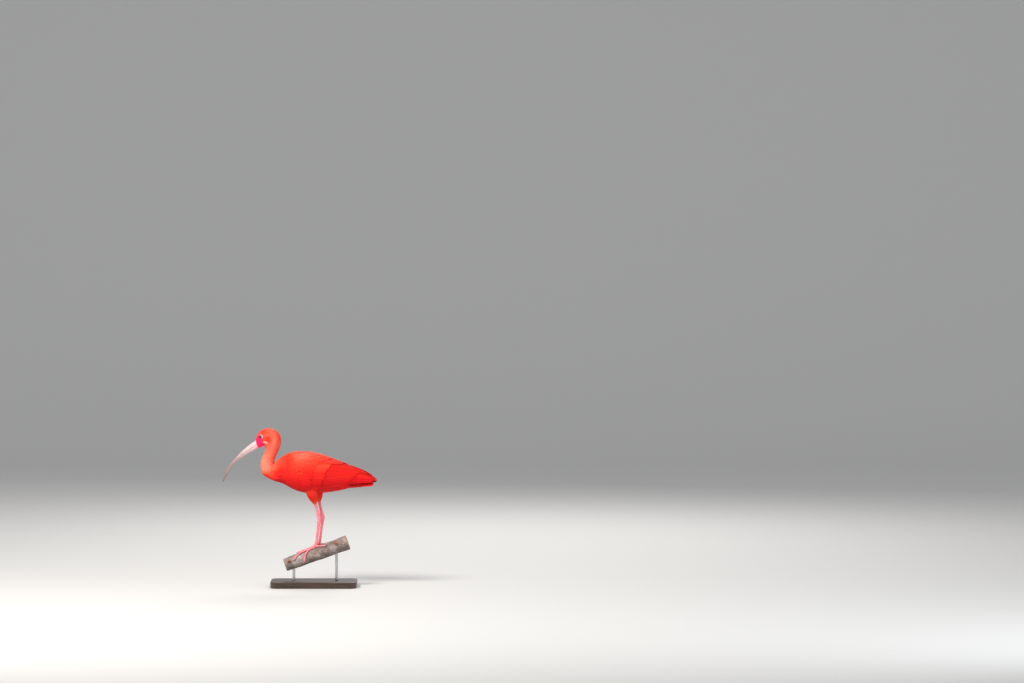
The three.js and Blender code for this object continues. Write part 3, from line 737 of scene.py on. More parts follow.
def skin_parts():
    """Closed forms under the skin of the body and of the legs."""
    t, a = grid(90, 72, (0.004, 0.996))
    p = torso(t, a)
    depth = SKIN_DEPTH + 1.8 * under_wing(p) * smooth(-40, 0, p[..., 0])
    depth = depth * smooth(0, 0.1, t) * (1 - smooth(0.9, 1, t))
    body = [cloak(t, a) - normal_on(cloak, t, a) * depth[..., None]]
    t, a = grid(60, 48, (0.3, 1))
    body.append(body_at(HEAD_NECK, t, a, -lerp(1.0, SKIN_DEPTH, smooth(0.3, 0.5, t))))
    for side in (-1, 1):
        u, w = grid(60, 40)
        v = 0.5 - 0.47 * np.cos(w)
        front = -94 + 60 * (v - 0.45) ** 2
        back = 124 - 60 * np.maximum(0, v - 0.5)
        depth = lerp(13, 7, np.clip(u * 1.3, 0, 1))
        end = np.sqrt(np.clip(np.minimum(u, 1 - u) * 12, 0, 1))
        height = -4.6 - depth / 2 + (depth / 2 - 0.6) * np.sin(w) * end
        body.append(wing_at(side, lerp(front, back, u), v, height))
    t, a = grid(20, 40)
    body.append(tail_root(t, a) - normal_on(tail_root, t, a) * 2.0)
    legs = []
    for name, leg in LEGS.items():
        t, a = grid(30, 30)
        body.append(thigh_at(leg, t, a, -1.6 * (1 - t)))
        ankle, foot, bare, belly = (np.array(leg[key], float) for key in ("ankle", "foot", "bare", "belly"))
        bare = lerp(bare, belly, 0.25)
        hub = branch_at(FOOT_AT[name], math.radians(-leg["side"] * FOOT_ANGLE), 3.4)
        legs.append(limb_at([bare, lerp(bare, ankle, 0.5), ankle], SHANK, *grid(50, 20)))
        legs.append(limb_at([ankle, lerp(ankle, foot, 0.5), foot], TARSUS, *grid(50, 20)))
        legs.append(limb_at([foot, hub, lerp(foot, hub, 1.25)], INSTEP, *grid(16, 20)))
        for toe in TOES:
            share = np.linspace(0, 1, 60)
            radius = toe_radius(toe, share)
            legs.append(limb_at(toe_path(name, toe, share, radius + TOE_LIFT), radius, *grid(60, 18)))
        n, turn = grid(16, 16)
        polar = (n - 0.5) * math.pi
        ball = vec(np.cos(polar) * np.cos(turn), np.cos(polar) * np.sin(turn), np.sin(polar))
        legs.append(ankle + np.array([1.2, 0, 0]) + ball * np.array([5.2, 5.0, 6.6]))
    return [[loft_object("skin_part", rings) for rings in forms] for forms in (body, legs)]


def head_parts():
    """The head's closed form, and a ring for each eye's lids."""
    t, a = grid(90, 72, (0, 0.42))
    parts = [loft_object("head_part", body_at(HEAD_NECK, t, a, -0.9 * smooth(0.06, 0.12, t)))]
    n, m = grid(40, 14)
    ring = n * TURN
    tube = 1.05 + 0.15 * np.cos(2 * ring)
    out = EYE["radius"] + 0.15 + tube * np.cos(m)
    lid = vec(out * np.cos(ring) * 1.1, tube * np.sin(m), out * np.sin(ring) * 0.95)
    lid[..., 1] += 0.32 * (out * np.cos(ring) - 1.5)
    for side in (-1, 1):
        centre = np.array([EYE["x"], side * (EYE["y"] + 2.2), EYE["z"]])
        points = (lid * np.array([1, side, 1]) + centre)[:-1].reshape(-1, 3)
        parts.append(plain_object("head_part", points, band(40, 14, True).tolist()))
    return parts


def eye_distance(p):
    return np.hypot((p[..., 0] - EYE["x"]) / 1.12, p[..., 2] - EYE["z"])


def face_mask(p):
    """How bare the skin of the face is at points, from 0 to 1: lores, round the eye, and the chin."""
    x, z = p[..., 0], p[..., 2]
    ring = 1 - smooth(6.2, 7.1, eye_distance(p))
    rear = 1 - smooth(-1.2, 1.2, x + 145.5 + 0.24 * (z - 414))
    top = 1 - smooth(-1.2, 1.2, z - 430.5 - 0.95 * (x + 168))
    return np.maximum(ring, rear * top)


def sculpt_head(obj):
    """Folds and hollows of the bare face."""
    p, n = points_of(obj), normals_of(obj)
    x, z = p[:, 0], p[:, 2]
    eye = eye_distance(p)
    clear = smooth(6.2, 7.4, eye)
    push = -1.0 * bell((x - LORES["x"]) / 3.0, (z - LORES["z"]) / 5.0)
    push += 0.6 * bell((x - BROW["x"]) / 7, (z - BROW["z"]) / 1.8) * clear
    fold = bell((eye - 7.7) / 0.55) * smooth(3, -1, z - EYE["z"])
    mouth = z - MOUTH["z"] - 0.45 * (x - MOUTH["x"])
    gape = 1 - smooth(-149, -144.5, x)
    push -= (0.95 * bell(mouth / 0.5) + 0.5 * fold) * np.maximum(gape, 0.4)
    push += (0.5 * bell(mouth - 1.7) + 0.4 * bell((mouth + 1.8) / 1.1)) * gape * clear
    for turn in (2.6, 4.4, 6.4, 8.6):
        pleat = mouth + turn + 0.05 * (x + 150) ** 2 / 10
        push -= 0.28 * bell(pleat / 0.42) * gape
    for back in (4.4, 6.6, 9.0):
        crease = x + 160 + 0.25 * (z - 428) + 0.6 * np.sin(z * 0.5) - back
        push -= 0.22 * bell(crease / 0.45) * clear * smooth(2, 5, mouth)
    fine = waves(p, 2.6, 3) * 0.10 + waves(p * np.array([1, 1, 2.2]), 1.2, 5) * 0.12
    push += face_mask(p) * fine * clear
    move_points(obj, p + n * np.where(eye < 5.9, 0, push)[:, None])


def crease_legs(obj):
    """Fine creases down to the feet, and how much of the legs' own red shows."""
    p = points_of(obj)
    crease = np.abs(np.sin(p[:, 2] * 1.35 + 0.6 * p[:, 0])) ** 3
    depth = -0.16 * crease * smooth(122, 132, p[:, 2])
    move_points(obj, p + normals_of(obj) * depth[:, None])
    set_value(obj.data, "leg", 1 - 0.45 * smooth(226, 246, p[:, 2]))


def colour_head(obj):
    """Where the face is bare, and where it is pale: a painted highlight on the bare ring round the eye's
    upper rear side, and a streak behind the mouth.
    """
    p = points_of(obj)
    set_value(obj.data, "bare", face_mask(p))
    # Painted highlight: the pale patch is centred 1.9 mm behind and 1.7 mm above the eye's middle
    brow = eye_distance(p + np.array([-1.9, 0, -1.7]))
    streak = bell((p[:, 0] - GAPE["x"]) / 5, (p[:, 2] - GAPE["z"]) / 1.9)
    set_value(obj.data, "pale", np.clip(0.85 * (1 - smooth(3.6, 7.0, brow)) + streak, 0, 1))


def skin_material():
    flesh = {"Subsurface_Weight": 0.06, "Subsurface_Scale": 0.004, "Subsurface_Radius": (1.0, 0.3, 0.25)}
    m = Nodes("skin", 0.46, Specular_IOR_Level=0.3, **flesh)
    spots = m.noise(260.0, 4.0)
    leg_red = m.ramp(spots, [(0.3, (0.80, 0.15, 0.18)), (0.55, (0.95, 0.26, 0.30)), (0.8, (1.0, 0.42, 0.46))])
    face = m.ramp(spots, [(0.3, (0.72, 0.002, 0.06)), (0.55, (0.95, 0.004, 0.115)), (0.8, (1.0, 0.03, 0.18))])
    # The pale colour, where pale is high: a painted highlight on the bare ring round the eye, and the streak
    # behind the mouth
    ring = m.ramp(spots, [(0.3, (0.80, 0.28, 0.31)), (0.7, (0.95, 0.54, 0.55))])
    face = m.mix(m.value("pale"), face, ring)
    under = m.mix(m.value("bare"), (0.62, 0.02, 0.012), face)
    m.colour(m.mix(m.value("leg"), under, leg_red))
    cells = m.add("ShaderNodeTexVoronoi", {"Scale": 520.0, "Vector": m.place()}, feature="DISTANCE_TO_EDGE")
    first = m.bump(m.math("MINIMUM", cells.outputs["Distance"], 0.12), 0.5, 0.0009)
    m.bump(m.noise(900.0, 2.0), 0.2, 0.0003, first)
    return m.material


body_parts, leg_parts = skin_parts()
body_skin = remeshed("body_skin", body_parts, 2.0, 2)
head_skin = remeshed("head_skin", head_parts(), 0.6, 3)
leg_skin = remeshed("leg_skin", leg_parts, 0.6, 2)
sculpt_head(head_skin)
crease_legs(leg_skin)
colour_head(head_skin)
skin = joined("skin", [body_skin, head_skin, leg_skin])
FLESH = ["torso", "head", "neck_upper", "neck_lower", "wing_left", "wing_right", "tail"]
FLESH += [f"{part}_{side}" for part in ("thigh", "shank", "tarsus", "foot") for side in ("left", "right")]
wear(skin, skin_material(), "leg_skin", *FLESH)

# The coat by tract: length and its spread, half width, heights of root and tip, the tip's growth, jitter
TRACTS = {
    "head": [4.8, 0.15, 0.5, -0.6, 0.1, 0.12, 0.12],
    "neck": [5.0, 0.15, 0.54, -1.7, 0.15, 0.05, 0.16],
    "torso": [4.7, 0.14, 0.58, -2.3, 0.1, 0.04, 0.2],
    "thigh": [4.8, 0.14, 0.54, -1.4, 0.2, 0.1, 0.2],
}


def tract_coat(name, kind, surface, t, a, size, patch, at, more=0, **extra):
    """A tract's vanes from their roots and sizes. Their colours are read at points, with more added."""
    long, spread, wide, low, high, growth, jitter = TRACTS[kind]
    length = varied(long * size, len(t), spread)
    half = varied(wide * size, len(t))
    lifts = rising(low, high + growth * size, size, jitter)
    place = place_on(t, a, *patch)
    return surface_coat(name, surface, t, a, length, half, lifts, place, region_at(at) + more, **extra)


def make_head_coat():
    size = lambda t: lerp(0.64, 1.5, smooth(0.05, 0.42, t))
    t, a = tract(head_neck, (0.035, 0.44), size, 1.15, 0.84, 31)
    p = head_neck(t, a)
    keep = face_mask(p) < 0.35 + rng.normal(0, 0.12, len(t))
    t, a, p = t[keep], a[keep], p[keep]
    pale = np.exp(-(((p[:, 0] - GAPE["x"]) / 4.8) ** 4 + ((p[:, 2] - GAPE["z"]) / 1.7) ** 4))
    extra = {"shape": SHORT, "pale": pale}
    return tract_coat("coat_head", "head", head_neck, t, a, size(t), [(0.02, 0.02), (0.3, 0.3)], p, **extra)


def make_neck_coat(name, ends, seed):
    size = lambda t: lerp(1.45, 2.8, smooth(0.4, 1.0, t))
    t, a = tract(head_neck, ends, size, 1.15, 0.84, seed)
    p = head_neck(np.minimum(1, t + 0.02), a)
    return tract_coat(name, "neck", head_neck, t, a, size(t), [(0.02, 0.02), (0.45, 0.3)], p, shape=SHORT)


def make_torso_coat():
    size = lambda t: lerp(2.7, 4.6, smooth(0.05, 0.6, t))
    t, a = tract(cloak, (0.03, 0.985), size, 1.1, 0.86, 41)
    p = cloak(t, a)
    x, z = p[:, 0], p[:, 2]
    upper, edge = rows_by(WING_EDGES, x)
    hidden = (x > -74) & (x < 104) & (np.degrees(np.abs(a)) > upper + 14) & (z > edge + 10)
    t, a, p = t[~hidden], a[~hidden], p[~hidden]
    return tract_coat("coat_torso", "torso", cloak, t, a, size(t), [(0.5, 0.02), (0.47, 0.45)], p)


def make_rump_coat():
    t, a = tract(tail_root, (0, 0.95), lambda t: 1.0, 4.6, 4.2, 47)
    size = np.full(len(t), 4.4)
    length = varied(4.2 * size, len(t))
    half = varied(0.7 * size, len(t))
    region = region_at(tail_root(t, a))
    lifts = rising(-2.0, 0.3, size, 0.2)
    place = place_on(t, a, (0.75, 0.5), (0.2, 0.1))
    return surface_coat("coat_rump", tail_root, t, a, length, half, lifts, place, region)


def make_thigh_coat(name):
    leg = LEGS[name]
    surface = lambda t, a: thigh_at(leg, t, a)
    size = lambda t: lerp(2.8, 1.3, smooth(0.3, 0.9, t))
    t, a = tract(surface, (0.22, 0.91), size, 1.15, 0.86, 43)
    p = surface(t, a)
    patch = [(0.02 + 0.5 * (leg["side"] > 0), 0.5), (0.2, 0.1)]
    # The thigh's vanes are painted paler than the belly's, at its top and more so lower down: a painted
    # highlight where the thigh faces the light
    thigh_highlight = -0.25 * smooth(262, 285, p[:, 2]) - 0.55 * smooth(0.45, 0.95, t)
    return tract_coat(f"coat_thigh_{name}", "thigh", surface, t, a, size(t), patch, p, thigh_highlight, shape=SHORT)


plumage = feather_material("plumage")
fine_plumage = feather_material("fine_plumage", 0.4, 160.0)
neck_coats = [make_neck_coat("coat_neck", (0.4, 0.72), 37), make_neck_coat("coat_neck_base", (0.7, 1.0), 38)]
for piece in [make_head_coat(), *neck_coats]:
    wear(piece, fine_plumage, "neck_plumage")
wear(make_torso_coat(), plumage, "scarlet_plumage")
wear(make_rump_coat(), plumage, "scarlet_plumage")
for name in LEGS:
    wear(make_thigh_coat(name), fine_plumage, "scarlet_plumage")

# Large vanes: shares along them, their widths there, and shares across
BLADE = {
    "u": np.array([0, 0.12, 0.25, 0.38, 0.5, 0.6, 0.69, 0.77, 0.84, 0.9, 0.945, 0.98, 1.0]),
    "w": np.array([0.5, 0.76, 0.92, 0.98, 1.0, 1.0, 1.0, 0.99, 0.96, 0.89, 0.75, 0.5, 0.2]),
    "c": np.array([-1.0, -0.6, -0.12, 0.12, 0.6, 1.0]),
}


def blades(spot_at, count, thick, seed):
    """Points, faces, shares along and across, and outward ways of large vanes.

    spot_at(n, u, c, height) gives points for feather numbers, shares along and across, and heights.
    """
    draw = np.random.default_rng(seed)
    u, w, c = BLADE["u"], BLADE["w"], BLADE["c"]
    rows, cols = len(u), len(c)
    n = np.arange(count)[:, None, None]
    shares = np.broadcast_to(u[:, None], (count, rows, cols))
    ragged = draw.normal(0, 0.03, (count, rows, 1)) * smooth(0.3, 0.7, u)[:, None]
    notch = draw.integers(5, 11, count)[:, None, None]
    notched = (np.arange(rows)[:, None] == notch) & (draw.uniform(size=(count, 1, 1)) < 0.45)
    across = c * (w[:, None] * (1 + ragged) * np.where(notched, 0.86, 1))
    shaft = 0.28 * (np.abs(c) < 0.2) * (1 - 0.8 * u)[:, None] + 0 * shares
    top = spot_at(n, shares, across, shaft)
    under = spot_at(n, shares, across, shaft - thick * lerp(1.0, 0.5, u)[:, None])
    size = rows * cols
    upper = sheet(rows, cols)
    rim = [np.arange(cols - 1), np.arange(rows - 1) * cols + cols - 1]
    rim += [(rows - 1) * cols + np.arange(cols - 1, 0, -1), np.arange(rows - 1, 0, -1) * cols]
    rim = np.concatenate(rim)
    after = np.roll(rim, -1)
    quads = np.concatenate([upper, upper[:, ::-1] + size, vec(after, rim, rim + size, after + size)])
    over = unit(spot_at(n, shares, across, shaft + 1.0) - top)
    verts, ups = (np.stack(pair, 1).reshape(-1, 3) for pair in ([top, under], [over, -over]))
    return verts, copies(quads, count, 2 * size), shares, across, ups


def blade_object(name, spot_at, count, half, length, place, region, thick, seed, dark=None):
    verts, faces, shares, across, ups = blades(spot_at, count, thick, seed)
    shares, across = (np.stack([x, x], 1).reshape(count, -1) for x in (shares, across))
    half, length = (np.broadcast_to(x, count)[:, None] for x in (half, length))
    bake = np.clip(place[:, None] + PATCH * vec(across * 0.5, shares - 0.5), 0, 1)
    real = vec(across * half, shares * length) / 10
    spread = lambda x: (np.asarray(x)[:, None] + 0 * shares).ravel()
    values = {"tone": spread(rng.uniform(0, 1, count)), "region": spread(region), "along": shares.ravel()}
    if dark is not None:
        values["dark"] = (np.asarray(dark)[:, None] * smooth(0.84, 0.97, shares)).ravel()
    maps = {"OFBake": bake.reshape(-1, 2), "Vane": real.reshape(-1, 2)}
    return make_mesh(name, verts, faces, maps, values, ups)


# The folded wing's tiers: count, x of roots and tips, shares of the way down at roots and tips, rise
WING_TIERS = [
    ("primaries", 10, [62, 78], [184, 182], [0.92, 0.10], [0.90, 0.08], [-3.6, -2.4]),
    ("secondaries", 14, [-20, 2], [94, 146], [0.98, 0.34], [1.0, 0.34], [-3.4, -0.9]),
    ("tertials", 9, [4, 22], [160, 178], [0.40, 0.03], [0.40, 0.02], [-3.4, 0.0]),
    ("greater_coverts", 14, [-46, -20], [14, 60], [0.97, 0.26], [0.98, 0.26], [-3.2, -0.4]),
    ("median_coverts", 15, [-68, -40], [-22, 22], [0.95, 0.24], [0.96, 0.23], [-3.0, -0.1]),
    ("rear_scapulars", 7, [10, 26], [74, 100], [0.32, 0.03], [0.29, 0.02], [-3.6, 0.4]),
    ("mid_scapulars", 7, [-26, -8], [36, 62], [0.30, 0.03], [0.27, 0.03], [-3.2, 0.45]),
    ("front_scapulars", 7, [-60, -40], [-4, 22], [0.28, 0.02], [0.25, 0.03], [-2.8, 0.45]),
]
WING_FRONT = WING_HULL[0][0]
WING_LENGTH = WING_HULL[-1][0] - WING_FRONT
# The lesser coverts' first and last rows
COVERTS_FRONT = -92.0
COVERTS_BACK = -18.0
# Where the tail's quills start, and where its hull ends
QUILLS_X = 106.0
TAIL_ENDS = (96, 136)


def wing_place(x, side, v):
    """Places on the wings' part of the skin's map."""
    return vec(0.02 + 0.45 * (x - WING_FRONT) / WING_LENGTH, 0.55 + 0.2 * (side > 0) + 0.18 * v)


def tier_spot(side, tier, jitter):
    """Where a tier's vanes lie, and their half width as a share of the way down the wing."""
    _, count, root, tip, start, end, rise = tier
    half = 0.92 * (start[0] - start[1]) / (count - 1)

    def spot_at(n, u, c, height):
        q = n / (count - 1)
        x = lerp(lerp(*root, q) + jitter[n, 0], lerp(*tip, q) + jitter[n, 1], u)
        v = lerp(lerp(*start, q), lerp(*end, q) + jitter[n, 2] * half, u)
        lift = lerp(*rise, 1 - (1 - u) ** 1.8) + 0.62 * c + jitter[n, 3]
        lift = lift + 0.35 * (side < 0) * smooth(0.12, 0, v)
        return wing_at(side, x - 2.0 * c * c * smooth(0.8, 1, u), v + c * half, lift + height)

    return spot_at, half


def make_wing(side_name, side):
    for number, tier in enumerate(WING_TIERS):
        kind, count, root, tip, start, _, _ = tier
        draw = np.random.default_rng(50 + number)
        jitter = draw.normal(0, 1, (count, 4)) * np.array([1.0, 2.0, 0.06, 0.05])
        spot_at, half = tier_spot(side, tier, jitter)
        q = np.linspace(0, 1, count)
        x = lerp(*root, q)
        length = lerp(*tip, q) - x
        place = wing_place(x, side, lerp(*start, q))
        n = np.arange(count)[:, None, None]
        region = region_at(spot_at(n, 0.75 + 0 * n, 0 * n, 0 * n)[:, 0, 0], 0.05)
        dark = (q < 0.25) * 0.75 if kind == "primaries" else None
        name = f"{kind}_{side_name}"
        yield blade_object(name, spot_at, count, half * 95, length, place, region, 0.42, 60 + number, dark)


def lesser_coverts(name, side):
    """Rows of short coverts over the front of the wing."""
    draw = np.random.default_rng(71)
    rows = []
    x = COVERTS_FRONT
    while x < COVERTS_BACK:
        s = lerp(2.5, 4.2, (x - COVERTS_FRONT) / (COVERTS_BACK - COVERTS_FRONT))
        count = int(100 / s * lerp(0.72, 1, smooth(COVERTS_FRONT, -70, x)))
        v = (np.arange(count) + 0.5 * (len(rows) % 2) + 0.25) / count
        v = lerp(0.03, 1.02, v) + draw.normal(0, 0.006, count)
        along = x + 46 * (0.55 - v) * smooth(-80, -40, x) + 30 * (v - 0.45) ** 2
        rows.append(vec(along + draw.normal(0, 0.12 * s, count), v, s))
        x += 0.95 * s
    x, v, s = np.concatenate(rows).T
    length = varied(4.8 * s, len(x))
    spots, lifted = ([wing_at(side, x + length * f, v, up) for f in (0, 0.5, 1)] for up in (0, 1))
    normals = [unit(b - a) for a, b in zip(spots, lifted)]
    lifts = rising(-2.5, 0.25 + 0.05 * s, s, 0.2)
    place = wing_place(x, side, np.clip(v, 0, 1))
    half = varied(0.62 * s, len(x))
    return coat(f"lesser_coverts_{name}", *spots, normals, half, lifts, place, region_at(spots[0]))


def rectrices():
    per_side = 6
    draw = np.random.default_rng(81)
    numbers = np.arange(2 * per_side)
    side = np.where(numbers < per_side, -1, 1)
    order = numbers % per_side
    middle = order == 0
    tips = 174.0 - 0.25 * order**1.4 + draw.normal(0, 0.4, len(numbers))
    half = np.where(middle, 7.5, 6.8)
    tip_y = side * np.where(middle, 1.8, 7.2 + 1.6 * (order - 1))
    level = np.where(middle, np.minimum(0, -side), -1.45 * order - 0.8)
    roll = np.radians(3.6 * side * order)

    def spot_at(n, u, c, height):
        out, lean = c * half[n], roll[n]
        x = lerp(QUILLS_X, tips[n], u) - 1.5 * c * c * smooth(0.85, 1, u)
        y = tip_y[n] * lerp(0.75, 1, u) + out * np.cos(lean) + height * np.sin(lean)
        z = lerp(305, 304, u) + level[n] - out * np.sin(lean) + (height - 0.9 * c * c) * np.cos(lean)
        return vec(x, y, z)

    count = len(numbers)
    place = vec(0.55 + 0.02 * numbers, 0.6)
    region = 0.85 + draw.uniform(0, 0.12, count)
    return blade_object("rectrices", spot_at, count, half, tips - QUILLS_X, place, region, 0.4, 82)


def tail_coverts(name, above):
    """Long soft coverts over or under the root of the tail."""
    draw = np.random.default_rng(91 + above)
    way = 1 if above else -1
    across, rows = 7, 5
    n = np.arange(across * rows)
    row = n // across
    col = n % across - (across - 1) / 2 + 0.5 * (row % 2 - 0.5)
    x0 = 88 + 9.5 * row + draw.normal(0, 1, len(n))
    length = 36 + draw.normal(0, 1.5, len(n)) - 1.2 * np.abs(col)

    def surface(x):
        top, low, _ = rows_by(TAIL_HULL, np.clip(x, *TAIL_ENDS))
        y = col * 5.2 * np.interp(x, [84, 150], [1.05, 0.8])
        fall = np.maximum(0, x - TAIL_ENDS[1]) * (0.30 if above else -0.04)
        return vec(x, y, (top if above else low) - fall - way * 0.018 * y * y)

    spots = [surface(x0 + length * f) for f in (0, 0.5, 1)]
    normals = [unit(vec(0, 0.04 * s[:, 1], way)) for s in spots]
    lifts = vec(-2.0, -0.5, 0.2 + 0.4 * rng.normal(0, 0.5, len(n)))
    place = vec(0.55 + 0.4 * (x0 - 84) / 60, 0.7 + 0.12 * above + 0.01 * col)
    half = varied(4.8, len(n))
    return coat(name, *spots, normals, half, lifts, place, region_at(spots[1]), lean=False)


flight_plumage = feather_material("flight_plumage")
for name, leg in LEGS.items():
    for piece in make_wing(name, leg["side"]):
        wear(piece, flight_plumage, "scarlet_plumage")
    wear(lesser_coverts(name, leg["side"]), plumage, "scarlet_plumage")
wear(rectrices(), flight_plumage, "scarlet_plumage")
wear(tail_coverts("upper_tail_coverts", True), plumage, "scarlet_plumage")
wear(tail_coverts("under_tail_coverts", False), plumage, "scarlet_plumage")


# Bill
def bill_half(name, upper):
    """Half of the bill: an arc over or under the mouth line, closed by a nearly flat face."""
    t = np.linspace(0.012, 1, 170)
    r = rows_at(BILL, t)
    reach = (r[:, 0:2] if upper else r[:, 4:6]) - r[:, 2:4]
    half = r[:, 6] * (1 if upper else 0.93)
    arc = np.radians(np.linspace(-90, 90, 41))
    turn = np.abs(np.concatenate([arc, np.full(9, math.pi / 2)]))
    across = np.concatenate([rounded(np.sin(arc), 2.3), np.linspace(0.92, -0.92, 9)])
    tall = np.concatenate([rounded(np.cos(arc), 2.3), np.zeros(9)])
    level = reach[:, None] * tall[None, :, None] + unit(reach)[:, None] * 0.1 + r[:, None, 2:4]
    p = vec(level[..., 0], half[:, None] * across, level[..., 1])
    out = unit(p - p.mean(1, keepdims=True))
    t, turn = np.broadcast_arrays(t[:, None], turn)
    groove = bell((turn - 1.08) / 0.1) * smooth(0.0, 0.02, t) * (1 - smooth(0.45, 0.85, t))
    nostril = bell((turn - 1.04) / 0.13, (t - 0.12) / 0.032)
    rings = np.sin(t * 420 + 1.2 * np.cos(turn * 3)) * (1 - smooth(0.12, 0.4, t))
    push = 0.05 * rings + 0.07 * waves(vec(t * 70, turn * 2, 0), 1.0, 12)
    push = push - (0.55 * groove + 0.9 * nostril) * upper
    return loft_object(name, p + out * (push * (turn < 1.5))[..., None])


def bill_material():
    m = Nodes("bill_horn", 0.34)
    at = m.add("ShaderNodeSeparateXYZ", {0: m.place()})
    share = m.math("MULTIPLY_ADD", at.outputs["X"], -10.0, -1.66)
    # Darker towards the tip: partly the horn's own greyer tip, partly painted shade in the middle and tip
    # colours
    tints = [(0.0, (0.84, 0.40, 0.45)), (0.04, (0.76, 0.56, 0.57)), (0.3, (0.64, 0.47, 0.48))]
    tints += [(0.6, (0.44, 0.31, 0.31)), (1.0, (0.24, 0.16, 0.15))]
    streak = m.noise(170.0, 4.0)
    m.colour(m.tinted(m.ramp(share, tints), streak, [(0.35, (0.86, 0.80, 0.79)), (0.7, 1.0)]))
    m.bump(streak, 0.25, 0.0004)
    return m.material


horn = bill_material()
for name, upper in (("bill_upper", True), ("bill_lower", False)):
    wear(bill_half(f"{name}_horn", upper), horn, "bill_horn", name)


# Eyes
def eye_object(name, side):
    n, m = grid(40, 48)
    polar = n * math.pi
    r = EYE["radius"] + 0.35 * bell(polar / 0.55)
    p = vec(r * np.sin(polar) * np.cos(m), side * r * np.cos(polar), r * np.sin(polar) * np.sin(m))
    obj = loft_object(name, p + np.array([EYE["x"], side * (EYE["y"] - 0.15), EYE["z"]]))
    set_value(obj.data, "polar", np.concatenate([polar.ravel(), [0, math.pi]]))
    return obj


def eye_material():
    m = Nodes("eye", 0.04)
    iris = [(0.40, 0.003), (0.46, (0.060, 0.022, 0.012)), (0.85, (0.028, 0.011, 0.008))]
    m.colour(m.ramp(m.value("polar"), iris))
    return m.material


eye_shine = eye_material()
for name, leg in LEGS.items():
    wear(eye_object(f"eyeball_{name}", leg["side"]), eye_shine, "eye", f"eye_{name}")

# Claws
CLAW_GRID = (24, 16)
CLAWED = [(name, toe) for name in LEGS for toe in TOES]


def claw_rings(name, toe):
    r = toe_radius(toe, 1.0)
    end = toe_path(name, toe, 1.0, r + 0.3)
    ahead = unit(end - toe_path(name, toe, 0.93, toe_radius(toe, 0.93) + 0.3))
    inward = unit(toe_path(name, toe, 1.0, 0.0) - end)
    length = 9.4 * toe["size"]
    s = np.linspace(0, 1, 6)[:, None]
    fall = 0.85 * s * s - 0.12 * np.sin(math.pi * s)
    bend = end - ahead * 0.8 + ahead * length * s + inward * r * fall
    return limb_at(bend, [r * 0.82, r * 0.84, r * 0.74, r * 0.56, r * 0.34, 0.16], *grid(*CLAW_GRID))


def claw_material():
    m = Nodes("claw_horn", 0.35)
    horn_colour = m.ramp(m.noise(300.0), [(0.3, (0.42, 0.26, 0.24)), (0.7, (0.60, 0.42, 0.38))])
    m.colour(m.mix(m.value("tip"), horn_colour, (0.10, 0.06, 0.05)))
    m.bump(m.noise(700.0), 0.2, 0.0002)
    return m.material


claws = joined("claws", [loft_object("claw", claw_rings(name, toe)) for name, toe in CLAWED])
claw_share = np.append(grid(*CLAW_GRID)[0], [0, 1])
set_value(claws.data, "tip", smooth(0.35, 1.0, np.tile(claw_share, len(CLAWED))))
wear(claws, claw_material(), "claw_horn", *[f"claw_{toe['name']}_{name}" for name, toe in CLAWED])

# Scutes: points along a plate's side, and plates down a tarsus
PLATE_SIDE = 6
TARSUS_PLATES = 26


def scute_spots():
    """Each plate's middle, its way ahead and out, and its half length and half width."""
    for name, leg in LEGS.items():
        for toe in TOES:
            rows = int(abs(toe["run"]) / 2.1)
            for n in range(rows):
                share = 0.06 + 0.92 * (n + 0.5) / rows
                r = float(toe_radius(toe, share))
                centre = toe_path(name, toe, share, r + 0.25)
                ahead = unit(toe_path(name, toe, share + 0.01, r + 0.25) - centre)
                up = unit(centre - toe_path(name, toe, share, 0.0))
                yield centre + up * (r - 0.08), ahead, up, [1.28, r * 0.78, 0]
        ankle, foot = np.array(leg["ankle"], float), np.array(leg["foot"], float)
        ahead = unit(foot - ankle)
        front = unit(np.array([-1.0, 0, 0]) - ahead * np.dot([-1.0, 0, 0], ahead))
        for n in range(TARSUS_PLATES):
            share = 0.1 + 0.86 * (n + 0.5) / TARSUS_PLATES
            r = float(rows_at([[x] for x in TARSUS], share)[0])
            for turn, shift in ((-0.62, 0.0), (0.62, 1.45)):
                way = front * math.cos(turn) + np.cross(ahead, front) * math.sin(turn)
                spot = lerp(ankle, foot, share) + ahead * shift + way * (r - 0.06)
                yield spot, ahead, way, [1.75, r * 0.60, 0]


def scutes():
    """Small plates on the toes and the front of the tarsus."""
    spots, ways, outs, sizes = np.array(list(scute_spots())).transpose(1, 0, 2)
    count, corners = len(spots), PLATE_SIDE**2
    side = np.cross(ways, outs)
    line = np.linspace(-1, 1, PLATE_SIDE)
    u, c = np.meshgrid(line, line, indexing="ij")
    arc = c * 0.95
    long, wide = sizes[:, 0, None, None], sizes[:, 1, None, None]
    height = 0.34 * np.clip(1 - np.maximum(np.abs(u), np.abs(c)) ** 4, 0, 1) - 0.42 * wide * arc**2
    p = spots[:, None, None] + ways[:, None, None] * (long * u)[..., None]
    p = p + side[:, None, None] * (wide * arc)[..., None] + outs[:, None, None] * height[..., None]
    faces = copies(sheet(PLATE_SIDE, PLATE_SIDE)[:, [0, 3, 2, 1]], count, corners)
    place = vec(np.linspace(0.55, 0.95, count), 0.9)
    bake = place[:, None] + PATCH / 2 * vec(u.ravel(), c.ravel())
    tone = np.repeat(rng.uniform(0, 1, count), corners)
    return make_mesh("leg_scutes", p.reshape(-1, 3), faces, {"OFBake": bake.reshape(-1, 2)}, {"tone": tone})


